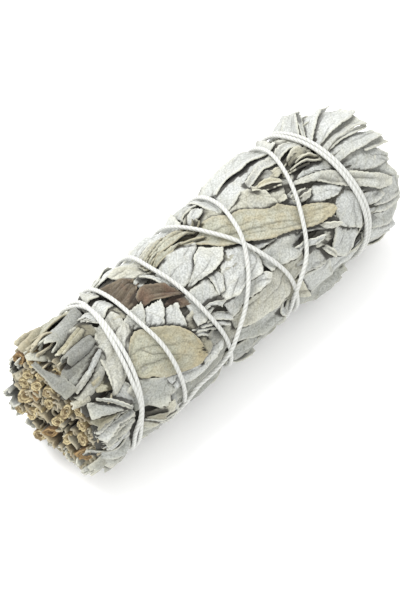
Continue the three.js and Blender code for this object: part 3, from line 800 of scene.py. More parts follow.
def add_node(tree: bpy.types.NodeTree, kind: str, **values: object) -> bpy.types.Node:
    """Adds a node.

    Args:
        tree: the node tree that it joins.
        kind: the node's type without its prefix.
        **values: its properties by name, and its inputs by name with underscores for spaces or by number
            after i. An input is given a number or colour, or the socket that feeds it.

    Returns:
        The node.
    """
    node = tree.nodes.new("ShaderNode" + kind)
    for key, value in values.items():
        if hasattr(node, key):
            setattr(node, key, value)
            continue
        target = node.inputs[int(key[1:]) if key[1:].isdigit() else key.replace("_", " ")]
        if isinstance(value, Socket):
            tree.links.new(value, target)
        else:
            target.default_value = value
    return node


class Shader:
    """A material while its nodes are added, with the mesh's place, UV map and paint at hand."""

    def __init__(self, name: str) -> None:
        """Empties a new material's tree and reads what the mesh gives."""
        self.material = bpy.data.materials.new(name)
        self.material.use_nodes = True
        self.material.node_tree.nodes.clear()
        place = self.add("TexCoord")
        paint = self.add("Attribute", attribute_name="paint")
        self.room, self.uv = place.outputs["Object"], place.outputs["UV"]
        self.red, self.green, self.blue = self.add("SeparateColor", Color=paint.outputs["Color"]).outputs
        self.alpha = paint.outputs["Alpha"]

    def add(self, kind: str, **values: object) -> bpy.types.Node:
        """Adds a node to this material."""
        return add_node(self.material.node_tree, kind, **values)

    def noise(self, size: float, detail: float = 3.0, **values: object) -> Socket:
        """Noise through space, unless values give another vector, with grains of a size."""
        values = {"Vector": self.room, **values}
        return self.add("TexNoise", Scale=1 / size, Detail=detail, **values).outputs["Fac"]

    def scaled(self, value: Socket, factor: float, offset: float | Socket = 0.0) -> Socket:
        """A value times a factor, plus an offset."""
        return self.add("Math", operation="MULTIPLY_ADD", i0=value, i1=factor, i2=offset).outputs[0]

    def total(self, first: Socket, second: Socket) -> Socket:
        """The sum of two values, kept from 0 to 1."""
        return self.add("Math", operation="ADD", use_clamp=True, i0=first, i1=second).outputs[0]

    def ramp(self, value: Socket, low: float, high: float, start: float, end: float) -> Socket:
        """Goes from start to end while a value goes from low to high."""
        return self.add("MapRange", i0=value, i1=low, i2=high, i3=start, i4=end).outputs[0]

    def mix(self, share: Socket, first: str | Socket, second: str | Socket, **values: object) -> Socket:
        """Goes from one colour to another, each a hex code or a socket."""
        a, b = (srgb(colour) if isinstance(colour, str) else colour for colour in (first, second))
        return self.add("Mix", data_type="RGBA", i0=share, i6=a, i7=b, **values).outputs[2]

    def times(self, colour: Socket, factor: Socket) -> Socket:
        """A colour times a factor."""
        return self.add("VectorMath", operation="SCALE", i0=colour, Scale=factor).outputs[0]

    def bump(self, height: Socket, strength: float, depth_mm: float, **values: object) -> Socket:
        """The surface's direction, tilted by a height."""
        return self.add("Bump", Strength=strength, Distance=depth_mm * MM, Height=height, **values).outputs[0]

    def finished(self, colour: Socket, normal: Socket, **values: object) -> bpy.types.Material:
        """The material, with its surface."""
        surface = self.add("BsdfPrincipled", Base_Color=colour, Normal=normal, **values)
        self.add("OutputMaterial", Surface=surface.outputs[0])
        return self.material


@dataclass(frozen=True)
class LeafFinish:
    """Dried white sage leaf: both faces are felted with fine hairs, so it is pale, dull and without gloss.
    The net of small veins shows as a pebbled grain, and old breaks and inner parts go brown. The inner colour
    also serves as painted shade in gaps, creases and hollows."""

    name: str
    pale: str
    dull: str
    warm: str
    inner: str
    edge: str
    speckle: str
    speckles: float = 0.0
    blush: float = 0.35
    grain_mm: float = 0.42
    patch_mm: float = 4.5
    net_mm: float = 1.1
    vein_mm: float = 2.6
    vein_tint: str = "#d8d5c4"
    blotch_mm: float = 2.8
    speck_mm: float = 1.4
    roughness: float = 0.92

    def material(self) -> bpy.types.Material:
        """Builds the material: the paint is shade, darkness (painted shade, and the dim of darker leaves),
        edge and warmth.
        """
        make = Shader(self.name)
        felt = make.noise(self.grain_mm * MM)
        tone = make.scaled(make.noise(self.patch_mm * MM, 4.0), 0.9, -0.45)
        body = make.mix(make.total(make.red, tone), self.dull, self.pale)
        blush = make.scaled(make.noise(self.blotch_mm, Vector=make.uv), 2 * self.blush, -self.blush)
        yellowed = make.mix(make.total(make.alpha, blush), body, self.warm)
        grained = make.times(yellowed, make.ramp(felt, 0.35, 0.65, 0.74, 1.16))
        veined = make.mix(self.veins(make), grained, self.vein_tint, blend_type="MULTIPLY")
        rimmed = make.mix(make.scaled(make.blue, 0.55), veined, self.edge)
        specks = make.ramp(make.noise(self.speck_mm * MM, Roughness=0.7), 0.60, 0.68, 0.0, self.speckles)
        # The darkness paint mixes in the inner colour: painted shade in gaps, creases and hollows, and a
        # darker tone on dim leaves
        deep = make.mix(make.green, make.mix(specks, rimmed, self.speckle), self.inner)
        net = make.add("TexVoronoi", feature="DISTANCE_TO_EDGE", Scale=1 / self.net_mm, Vector=make.uv)
        pebbled = make.bump(make.ramp(net.outputs["Distance"], 0.0, 0.25, 0.0, 1.0), 0.35, 0.12)
        felted = make.bump(felt, 0.5, 0.16, Normal=pebbled)
        return make.finished(deep, felted, Roughness=self.roughness, Sheen_Weight=0.15, Sheen_Roughness=0.6,
                             Specular_IOR_Level=0.2)

    def veins(self, make: Shader) -> Socket:
        """Side veins: thin lines at a slant, one for each vein spacing along the leaf."""
        across, along, _ = make.add("SeparateXYZ", Vector=make.uv).outputs
        count = make.add("Math", operation="DIVIDE", i0=make.scaled(across, 0.8, along), i1=self.vein_mm)
        saw = make.add("Math", operation="PINGPONG", i0=count.outputs[0], i1=0.5)
        return make.ramp(saw.outputs[0], 0.0, 0.07, 0.45, 0.0)


@dataclass(frozen=True)
class StemFinish:
    """Cut sage twig: a dull bark over straw-coloured wood, with a soft pale pith in the middle."""

    name: str
    bark: str
    wood: str
    pith: str
    ring: str = "#54452f"
    dirt: str = "#64523b"
    # The colour of the painted shade on the shaft behind the cut
    inner: str = "#332920"
    fibre_mm: float = 0.35
    blot_mm: float = 1.3

    def material(self) -> bpy.types.Material:
        """Builds the material: the paint's red runs from pith to bark, and its green is painted shade down
        the shaft behind the cut.
        """
        make = Shader(self.name)
        fibre = make.noise(self.fibre_mm * MM, 4.0)
        rings = make.add("ValToRGB", Fac=make.red)
        stops = rings.color_ramp.elements
        stops[0].position, stops[0].color = 0.25, srgb(self.pith)
        stops[1].position, stops[1].color = 0.97, srgb(self.bark)
        for position, code in ((0.38, self.wood), (0.6, self.ring), (0.7, self.wood), (0.9, self.wood)):
            stops.new(position).color = srgb(code)
        grained = make.times(rings.outputs["Color"], make.ramp(fibre, 0.3, 0.7, 0.72, 1.12))
        blots = make.ramp(make.noise(self.blot_mm * MM), 0.42, 0.62, 0.0, 0.75)
        # Painted shade on the shaft behind the cut, over dirt blots
        deep = make.mix(make.green, make.mix(blots, grained, self.dirt), self.inner)
        return make.finished(deep, make.bump(fibre, 0.6, 0.15), Roughness=0.85, Specular_IOR_Level=0.25)


@dataclass(frozen=True)
class CottonFinish:
    """Twisted cotton string: bleached, soft and dull, with the fine slant of its yarns."""

    name: str = "bleached cotton string"
    colour: str = "#cacbc7"
    # Painted shade in the grooves between the plies
    groove_shade: str = "#a4a49b"
    yarn_mm: float = 0.3
    fluff_mm: float = 0.2

    def material(self) -> bpy.types.Material:
        """Builds the material: the UV map runs round the string and along it, in millimetres."""
        make = Shader(self.name)
        yarn = make.add("TexWave", bands_direction="DIAGONAL", Scale=BAND_REPEAT / self.yarn_mm,
                        Distortion=1.5, Detail=2.0, Vector=make.uv)
        twist = make.bump(yarn.outputs["Fac"], 0.35, 0.08)
        soft = make.bump(make.noise(self.fluff_mm * MM), 0.4, 0.08, Normal=twist)
        # The paint's red mixes in painted shade in the grooves between the plies
        colour = make.mix(make.red, self.colour, self.groove_shade)
        return make.finished(colour, soft, Roughness=0.95, Sheen_Weight=0.4, Specular_IOR_Level=0.15)


# Each finish's inner colour is the painted shade of gaps, creases and hollows, and the brown of inner parts
GREY_LEAF = LeafFinish("felted white sage leaf", pale="#c2c4c2", dull="#9a9c95", warm="#aaa58c",
                       inner="#27241e", edge="#cbcaba", speckle="#7d7056")
OLIVE_LEAF = LeafFinish("yellowed sage leaf", pale="#b2b3a6", dull="#959482", warm="#a39878",
                        inner="#2e2917", edge="#a49b80", speckle="#7b6846", speckles=0.3, blush=0.9)
BASE_LEAF = LeafFinish("browned leaf bases", pale="#bdbaa8", dull="#96927e", warm="#948363",
                       inner="#221b12", edge="#beb69d", speckle="#65543c", speckles=0.4, blush=0.8)
BROWN_LEAF = LeafFinish("browned sage leaf", pale="#766b5b", dull="#5b5245", warm="#6c4e3e",
                        inner="#2a211a", edge="#8b806c", speckle="#41342a", speckles=0.5, blush=0.9)
STRAW_STEM = StemFinish("straw-coloured cut twig", bark="#857858", wood="#c9bb93", pith="#7c6d4f")
ORANGE_STEM = StemFinish("orange-brown cut twig", bark="#67523b", wood="#a1875f", pith="#5f4b36")
COTTON = CottonFinish()


def leaf_base(width: float, curl: float, **looks: object) -> Leaf:
    """A leaf at the cut end: cut off square and without a chance roll, unless its looks say otherwise."""
    return Leaf(width=width, curl=curl, **{"tip": Tip.CUT, "roll": 0.0, **looks})


# Leaves in front, from the lowest to the topmost, by their edges from root to tip
FLANK = [
    # The leaves low on the flank near the floor are painted dull and dim: painted shade
    swept((-26, 101), (-35, 99), (-46, 96), 8, shade=-0.8, dim=0.1),
    Leaf(((-38, 66), (-32, 66), (-24, 68)), ((-38, 93), (-32, 95), (-24, 95)), shade=-0.6, dim=0.06),
    swept((-6, 99), (-15, 98), (-26, 96), 8.4, shade=-0.9, dim=0.2),
    swept((12, 98), (2, 99), (-9, 97), 8.4, shade=-0.9, dim=0.16),
    swept((12, 99), (21, 99), (31, 96), 8.4, shade=-0.8, dim=0.1),
    swept((28, 98), (37, 97), (48, 95), 8.4, flare=0.8, shade=-0.7, dim=0.06),
    Leaf(((-36, 74), (-32, 78), (-28, 84), (-26, 90)), ((-38, 82), (-34, 88), (-30, 94), (-26, 96)),
         fold=0.35),
    Leaf(((-36, 72), (-30, 73), (-26, 78)), ((-36, 76), (-31, 82), (-27, 88)), fold=-0.2),
    Leaf(((-28, 72), (-25, 72), (-21, 73)), ((-28, 82), (-25, 87), (-20, 89))),
    Leaf(((-22, 71), (-17, 74), (-13, 70), (-8, 65)), ((-22, 88), (-17, 91), (-12, 90), (-7, 85)), shade=-0.6,
         dim=0.1),
    Leaf(((-4, 70), (1, 71), (5, 71), (8.6, 71)), ((-5, 80), (0, 85), (4, 90), (9, 92)), shade=-0.5,
         dim=0.08),
    Leaf(((11, 83), (10, 79.8), (9, 83), (10, 86.2), (11, 83)), ((12, 83), (10, 76.5), (8, 83), (10, 89.5),
         (12, 83))),
    Leaf(((16, 72), (22, 71.5), (26, 70)), ((14, 88), (20, 93), (26, 92))),
    Leaf(((12, 73), (14, 71), (17, 73)), ((12, 86), (15, 90), (18, 92)), warm=0.4),
    Leaf(((26, 72), (30, 77), (37, 80)), ((26, 91), (31, 93), (38, 92))),
    Leaf(((40.5, 82), (46, 84), (53, 86)), ((40.5, 94), (46, 97), (53, 98)), flare=0.8),
    Leaf(((40.5, 66), (45, 71), (52, 76)), ((40, 80), (46, 83), (53, 84)), flare=0.8),
    Leaf(((-35.6, 75), (-32, 74), (-27.4, 75)), ((-36, 86), (-33, 90), (-28, 90)), lift=0.1, shade=-0.6,
         warm=0.3, fold=0.1),
    Leaf(((-34.4, 77), (-32.4, 76.6), (-30.4, 79)), ((-33.4, 81), (-31.8, 85), (-30.6, 88)), dim=0.45,
         warm=0.8, shade=-0.9),
    Leaf(((-35, 78), (-33, 81.6), (-31, 88), (-27, 91)), ((-35, 80), (-33.4, 83.6), (-31.4, 90.4), (-27, 93)),
         curl=0.8, shade=0.2, grow=0),
]
# At the cut end, with a stack of narrow leaves on the side in front
BUTT = [
    Leaf(((-31, -88), (-38, -90), (-46.5, -88)), ((-31, -62), (-38, -60), (-46, -62)), shade=0.1, ragged=0.9),
    # A leaf painted almost black under the stack: painted shade in the gaps between its strips
    Leaf(((-37.4, 50), (-42, 48), (-47.4, 50)), ((-37, 99), (-42, 99), (-48.6, 98)), dim=0.9, shade=-1,
         grow=0),
    Leaf(((-41, 92), (-45, 92), (-50, 89)), ((-41, 100), (-45, 102), (-50.6, 99)), ragged=0.9, shade=-0.6,
         warm=0.3, grow=0.1, creases=3),
    Leaf(((-40, 82.5), (-44, 84), (-47.4, 82), (-50, 77.5)), ((-40, 90.5), (-44, 91), (-48, 90), (-51, 87)),
         ragged=0.9, grow=0.1, shade=-0.3, creases=3),
    *(Leaf(upper, lower, curl=0.35, grow=0, sink=0.2, lift=0.25, creases=1, ragged=0.5, crumple=0.1,
           shade=shade, warm=warm)
      for upper, lower, shade, warm in (
          (((-39, 77.6), (-42, 75), (-44.6, 75.8), (-47, 77.6)), ((-40, 81), (-42.4, 79.4), (-44, 81.2),
           (-46.4, 82)), 0.3, 0),
          (((-37.4, 72.6), (-41, 69.8), (-44, 70.7), (-47.6, 73.2)), ((-38.4, 76.3), (-41.5, 73.7),
           (-44.4, 74.8), (-47.4, 76.6)), -0.1, 0.1),
          (((-37, 66.6), (-41.5, 64.2), (-44.6, 67), (-47.2, 70)), ((-37.6, 71.4), (-41, 68.8), (-44, 69.6),
           (-46.8, 72.4)), -0.3, 0.1),
          (((-37, 61.6), (-42, 59.6), (-45, 62.8), (-47.4, 67.4)), ((-37, 65.6), (-41.5, 63.2), (-44.4, 66),
           (-46.8, 69)), 0, 0.2),
          (((-37, 58.8), (-42.5, 55.2), (-45, 55.6), (-48, 58.6)), ((-37.2, 61), (-42, 58.8), (-44.6, 61.6),
           (-47, 66.4)), 0.1, 0),
          (((-37, 55.4), (-41, 51.4), (-44.5, 52), (-48, 52.6)), ((-37, 58), (-41.5, 54.6), (-44.5, 54.8),
           (-47.4, 57.6)), -0.1, 0.2),
      )),
    Leaf(((-37.5, 53), (-40, 48.2), (-43.5, 44.2), (-46.8, 40.4)), ((-37.8, 55), (-40.2, 51.4), (-43.6, 51.4),
         (-47.4, 52.4)), shade=-1, warm=0.9, ragged=0.6, lift=0.2, dim=0.4, grow=0, creases=3, curl=0.3),
    Leaf(((-37, 50.5), (-39.4, 44), (-42.4, 37), (-45.4, 30.5)), ((-37.4, 53.6), (-40.2, 49.4), (-43.4, 45.4),
         (-46.8, 41.4)), shade=-0.5, dim=0.1, lift=0.4, grow=0.1),
    Leaf(((-34.2, 47), (-34.5, 39), (-36, 37), (-40, 38)), ((-35.5, 58), (-37, 52), (-39, 45), (-40.4, 39))),
    Leaf(((-36, 59), (-38.3, 48), (-40.5, 38), (-42.9, 31.5)), ((-36.2, 60), (-38.8, 49.6), (-41, 40),
         (-43.2, 33)), lift=0.5, curl=0.5, grow=0, shade=-0.3),
    Leaf(((-43, 3), (-46, 3.5), (-48.6, 5)), ((-44, 14), (-46, 17), (-49, 17)), shade=0.1, ragged=0.6),
    Leaf(((-36, 14), (-39, 18), (-44, 19)), ((-36.8, 20), (-40, 22.5), (-45, 25)), warm=0.4, ragged=0.6),
    Leaf(((-46.4, -29), (-46.6, -14), (-45.7, 2), (-45.6, 18)), ((-47.4, -29), (-48, -12), (-48.8, 3),
         (-48.7, 18)), shade=-1, creases=4, grow=0.1, dim=0.42),
]
# Rolled leaves: leaf, then root and tip as place along the bundle, degrees round it and height over the skin
ROLLED = [
    (leaf_base(9, 0.7, ragged=1.4, shade=-0.1, warm=0.3), (-38, -57, -0.4), (-46.6, -53, 0.3)),
    (leaf_base(10, 2.4, ragged=1.6, crumple=0.25, shade=-0.5), (-30.6, -37.5, 1), (-43.2, -27, 2.5)),
    (leaf_base(3.4, 2, ragged=0.4, warm=0.9, shade=-0.6), (-34, -20, 0.6), (-43, -12, 1.3)),
    (leaf_base(2.2, 2, ragged=0.4, warm=0.8, shade=-0.2), (-33.8, -16, 1), (-42, -9, 1.1)),
    (leaf_base(8.4, 1.5, tip=Tip.ROUND, shade=-1, dim=0.52), (-34.6, 5, 0.6), (-46, 5, 1.2)),
    (leaf_base(6.6, 2.3, ragged=0.9, crumple=0.25, shade=-0.6, dim=0.46), (-34, -5, 1.4), (-43.2, -3, 2.5)),
    (leaf_base(4.6, 1.4, warm=0.4, shade=-0.4), (-37, 17, 0.7), (-46.6, 25, 1.3)),
    (leaf_base(5, 1.1, warm=0.2, shade=-0.7, dim=0.28, creases=3), (-35.2, 9, 1), (-46.8, 13, 1.5)),
    (leaf_base(1.4, 1, tip=Tip.POINTED, shade=0.1, hem=0.4), (-35, 7, 1.4), (-41.6, 15.5, 1.8)),
    (leaf_base(1.5, 1, hem=0.4, warm=0.2), (-39.4, 13.5, 1.6), (-46.2, 18.5, 1.9)),
    (leaf_base(3.6, 2.4, warm=0.6), (-44, 28, 0.6), (-48.4, 24.5, 1.4)),
    (leaf_base(7, 1.4, shade=-0.2, ragged=1.2, roll=None), (-38, -122, -1.2), (-52.8, -124, -0.6)),
    (leaf_base(6.5, 1.6, shade=-0.2, ragged=1.2, roll=None), (-38, -148, -2.4), (-51.8, -150, -2.2)),
    (leaf_base(6, 1.5, warm=0.4, ragged=1.2, roll=None), (-38, -172, -3.2), (-51.2, -173, -3.2)),
    (leaf_base(8, 0, fold=0.5, shade=-0.5, warm=0.3, ragged=1.4, roll=None), (-37.5, 96, -0.8),
     (-51.8, 104, 0.9)),
    (leaf_base(6, 1.2, shade=-0.1, ragged=1.2, roll=None), (-38, 112, -1.2), (-52.2, 119, -0.2)),
]
# Bent leaf bases that one looks into: leaf, root, tip, and the side that its back looks to
CUPS = [
    (leaf_base(9, 2.2, shade=-0.3, ragged=0.9, crumple=0.3), (-44, -106, -3.4), (-52.4, -107, -0.8), -120),
    (leaf_base(10, 2.2, shade=-0.3, warm=0.4, ragged=1), (-40, 121, -6), (-52.3, 121, -3.7), 160),
    (leaf_base(8, 1.5, shade=0.1, ragged=1), (-40, 150, -10.5), (-52, 150, -9), 180),
]
# Brown leaf bases in the shade of the rolled leaves, painted dark for that shade
DARK_BASES = [
    Leaf(((-35, -27), (-33.4, -26), (-31.2, -20)), ((-35, -9), (-33.4, -8), (-32, -10)), dim=0.6, warm=0.8,
         shade=-1),
    Leaf(((-44, -31), (-43, -29), (-42, -24)), ((-44, -20), (-43, -18), (-42, -18)), dim=0.6, warm=0.8,
         shade=-1),
]
# A pleated olive leaf behind the cut end, and a ridged one by it
TUBE_OLIVE = [
    Leaf(((-30, -74), (-36, -74), (-44, -71)), ((-30.5, -42), (-36, -41), (-43, -44)), curl=0.2, crumple=0.2,
         ragged=0.8, lift=0.7, creases=3, pleat=0.1, shade=0.1),
]
RIDGE_OLIVE = [
    Leaf(((-36.5, 24), (-38, 22), (-41.5, 22)), ((-36.8, 33), (-38.5, 35), (-41.5, 28)), fold=0.4,
         crumple=0.3),
]
# From the cut end to the middle, in the order in which they lie over each other
LEFT_LOW = [
    Leaf(((-16, -52), (-19, -54), (-23, -54)), ((-16, -38), (-19, -36), (-22.8, -34)), warm=0.4, shade=-0.2),
    Leaf(((-24, -48), (-26, -44), (-28.6, -42)), ((-24, -33), (-26, -32), (-28.6, -29)), shade=-0.1),
    Leaf(((-23.8, -20), (-25.4, -19), (-27, -15)), ((-23.8, -2), (-25.6, -4), (-27, -6)), warm=0.5,
         shade=-0.5, pleat=0.1),
    Leaf(((-33.5, 44), (-31.5, 43.8), (-27.5, 51.5), (-23.6, 61)), ((-36, 66), (-34, 69.5), (-29, 70.5),
         (-23.8, 72.3)), shade=-0.4),
    Leaf(((-24, -35), (-27, -32), (-30, -30), (-32.6, -28)), ((-24, -20), (-26.5, -15), (-29, -13.8),
         (-32.2, -20)), lift=0.3, shade=0.3, ragged=1.4),
    Leaf(((-24.2, -62), (-26, -50), (-27, -40)), ((-22, -52), (-24, -44), (-24.6, -36)), fold=0.3),
    Leaf(((-10, -62), (-15, -62), (-21.6, -60)), ((-10.5, -42), (-15, -43), (-21, -48)), shade=0.3),
    Leaf(((-10.6, -39), (-15, -41.5), (-18.6, -42)), ((-11, -22), (-15, -22.4), (-18, -25)), shade=0.2,
         warm=0.5, lift=0.3),
]
WIDE_BROWN = [
    Leaf(((-22.8, -45), (-20.8, -34), (-18, -30), (-16.2, -18.5)), ((-22.6, -2), (-21, -3.5), (-18.6, -9.5),
         (-15.9, -17)), hem=0.4, lift=0.2, crumple=0.3, creases=6, pleat=0.13, ragged=0.8),
]
LEFT_MIDDLE = [
    Leaf(((-20, -7), (-16.5, -11), (-14, -8)), ((-19.5, -5), (-16.5, -7), (-13.5, -3)), shade=-0.3, warm=0.4),
    Leaf(((-17, -17), (-15, -20), (-13, -20)), ((-16.5, -13), (-14.5, -14.5), (-13, -15.5)), shade=0.1),
    Leaf(((-14, -19), (-12, -14), (-10.9, -5), (-10.6, 4)), ((-15.2, -17), (-13.2, -11), (-12.8, -4),
         (-12.8, 4)), lift=0.4, curl=0.8, shade=0.35, grow=0),
]
SLIM_BROWN = [
    Leaf(((-16.2, 13), (-13, 10.5), (-10.8, 13.5)), ((-15, 17), (-12.8, 21), (-10.9, 24)), curl=0.5,
         creases=4, pleat=0.12, warm=0.35),
    Leaf(((-19.8, -4), (-17, -8), (-14, -2), (-11, 7)), ((-20, 1), (-17, 3), (-14, 9), (-10.4, 14)), curl=0.7,
         lift=0.2, creases=4, pleat=0.14, shade=0.35, warm=0.3),
]
LEFT_HIGH = [
    Leaf(((-17, 28), (-14, 26), (-10.6, 28)), ((-17, 46), (-14, 48), (-10.8, 50)), shade=-0.2, warm=0.3),
    Leaf(((-17.4, 32), (-14.5, 30), (-11.6, 29)), ((-15.6, 43.6), (-13.8, 42.6), (-11.6, 42.4)), pleat=0.16,
         creases=4, warm=0.45, shade=-0.1, grow=0.1),
    Leaf(((-26, 57), (-20, 59), (-13.5, 57)), ((-25, 75), (-19, 76), (-12, 74)), shade=0.1),
    Leaf(((-15, 60), (-12, 59), (-9, 62)), ((-16, 68), (-12, 68), (-8.5, 67)), fold=0.3),
    Leaf(((-15, 51), (-13.6, 50), (-12, 50.5)), ((-14.8, 61), (-13.4, 62), (-12.2, 60)), dim=0.35, warm=0.6,
         shade=-0.6),
    Leaf(((-15.8, 41.8), (-12.8, 45), (-10.9, 49.4), (-10.6, 55), (-11, 60.5)), ((-15.6, 45), (-13.2, 48),
         (-11.9, 51.5), (-11.6, 55), (-12, 60)), lift=0.3, curl=0.6, shade=0.3, grow=0),
    Leaf(((-20, 25), (-18.5, 18.5), (-17.3, 12.6)), ((-15.5, 34), (-14.3, 27), (-13.9, 22), (-13.1, 16.6)),
         shade=0.2, grow=0, sink=0.3, ragged=0.3),
    Leaf(((-25, 14), (-22.4, 8.5), (-20.3, 2.8)), ((-19.6, 24), (-17.6, 18), (-16.2, 12.8), (-15.4, 6.8)),
         shade=0.1, grow=0, sink=0.3, ragged=0.3),
    Leaf(((-28, 3.5), (-25, -0.5), (-22.8, -3.4)), ((-23.5, 15), (-21, 9.5), (-20.2, 4.4), (-19.1, -2.6)),
         grow=0, sink=0.3, shade=-0.15, ragged=0.3),
    Leaf(((-31.3, -13), (-33, -6), (-35, 4), (-36.3, 14), (-37, 24), (-38.3, 33), (-39.2, 39.5)),
         ((-26.2, -12), (-25.3, -5), (-26.4, 8), (-28.5, 17), (-30.5, 25), (-33, 34), (-37.5, 40)), warm=0.35,
         shade=-0.3, crumple=0.22, creases=5, grow=0.1),
    Leaf(((-28.8, 3), (-30.2, 12), (-30.6, 23)), ((-25.4, -1), (-25.2, 5), (-29.8, 22)), shade=-0.1, warm=0.2,
         grow=0.1),
]
BROAD_OLIVE = [
    Leaf(((-30.5, 24), (-28.5, 17), (-26.4, 12.1), (-22.5, 17.5), (-20.3, 23), (-18, 29), (-16.3, 37),
         (-14.8, 44.5), (-14.4, 52)), ((-31.3, 30), (-31.4, 43), (-27, 52.5), (-23.5, 61), (-20, 65),
         (-16.5, 67), (-14.7, 63)), lift=0.1, crumple=0.12, rib=0.05, age=0.8, shade=-0.3, ragged=0.9,
         creases=3, grow=0),
]
# The middle third
MIDDLE = [
    Leaf(((-12, -64), (-4, -65), (6, -64)), ((-12, -49), (-4, -45), (4, -44)), shade=0.3),
    Leaf(((6, -64), (10, -66), (15, -64)), ((5, -44), (8, -48), (10, -44)), shade=0.2),
    Leaf(((10.6, -58), (11, -45), (10.6, -32), (11.2, -20)), ((14.8, -58), (14.6, -42), (13.8, -31),
         (12.6, -20)), shade=0.25),
    Leaf(((4, -31), (5, -36), (7, -39.5), (9.2, -38)), ((4.6, -29.5), (6, -27), (8.2, -25), (9.8, -31)),
         lift=0.2, shade=0.4, ragged=0.4, grow=0),
    Leaf(((-4, 57), (1, 57), (6, 53), (10, 47.5), (14, 46.5), (20, 50)), ((-4.2, 66), (-1, 70), (4, 71.2),
         (9, 70.5), (14, 68), (20, 62)), warm=0.4, shade=-0.2, lift=0.4),
    Leaf(((-12, 52), (-9.4, 54), (-7.6, 58)), ((-12, 60), (-10, 62), (-8, 63)), dim=0.5, shade=-0.4),
    Leaf(((-14.6, 40.2), (-10.5, 46), (-6, 55)), ((-13.4, 44), (-10, 51), (-7, 58.5)), curl=0.5, lift=0.1,
         grow=0.2),
    Leaf(((-12.3, 39.5), (-8.5, 44.6), (-4.9, 52.5)), ((-12.2, 43.4), (-9, 48.8), (-5.6, 57.5)), curl=0.5,
         grow=0.2, shade=0.2),
    Leaf(((-10.4, 39.5), (-6.5, 43.4), (-4, 49.5)), ((-10.2, 43.4), (-7, 48), (-4.4, 55)), curl=0.5, lift=0.1,
         grow=0.2),
    Leaf(((-4.3, 38.5), (2, 41), (8, 41.3), (9.6, 47)), ((-4, 55.8), (0, 53.5), (5, 51), (9.2, 48.2)),
         lift=0.5),
    Leaf(((10.4, 30), (13, 31), (16.5, 28), (20.5, 33), (24.5, 38)), ((10.4, 45), (14, 47.5), (18, 49.5),
         (21, 50), (24, 44)), shade=0.05, lift=0.3),
    Leaf(((9.6, 17.5), (12.5, 20), (16.8, 26)), ((10.2, 23), (11.5, 27), (16, 28)), shade=0.35, grow=0.1),
    Leaf(((5, 8.3), (2, 15), (-0.5, 23), (-2.5, 31), (-4.2, 37.5)), ((8.6, 14), (10, 22), (10.4, 32),
         (7.5, 41.5), (0, 41.5)), shade=0.2, creases=3),
    Leaf(((-11.4, 18), (-8, 16.8), (-5.4, 16.6), (-3.6, 14.4)), ((-13, 40.5), (-9.5, 40.4), (-6.5, 39),
         (-4.4, 35)), shade=0.1),
    Leaf(((-4.6, 13.8), (-3.4, 15.4), (-3.1, 22), (-4.1, 33)), ((-2.6, 14.6), (-1, 17), (-0.2, 23),
         (-2.4, 33)), lift=0.1, shade=0.25, grow=0.1),
    Leaf(((-8.8, 34.4), (-7, 32), (-5.4, 34.6), (-4, 38)), ((-8.4, 36), (-7, 34.4), (-6.2, 37), (-5.4, 40.8)),
         lift=0.2, curl=0.6, grow=0),
    Leaf(((-11.2, -15), (-8, -18.5), (-5, -18), (-2, -14), (0.2, -8)), ((-11, 8), (-8.5, 11), (-6.2, 10),
         (-3.6, 3.5), (-0.2, -6)), shade=0.3),
    Leaf(((-8, 12.5), (-3.8, 4), (-2.4, -1), (0.6, -6)), ((-7.5, 14), (-2, 16.3), (1.6, 15), (4.8, 8)),
         shade=0.2, grow=0.1),
]
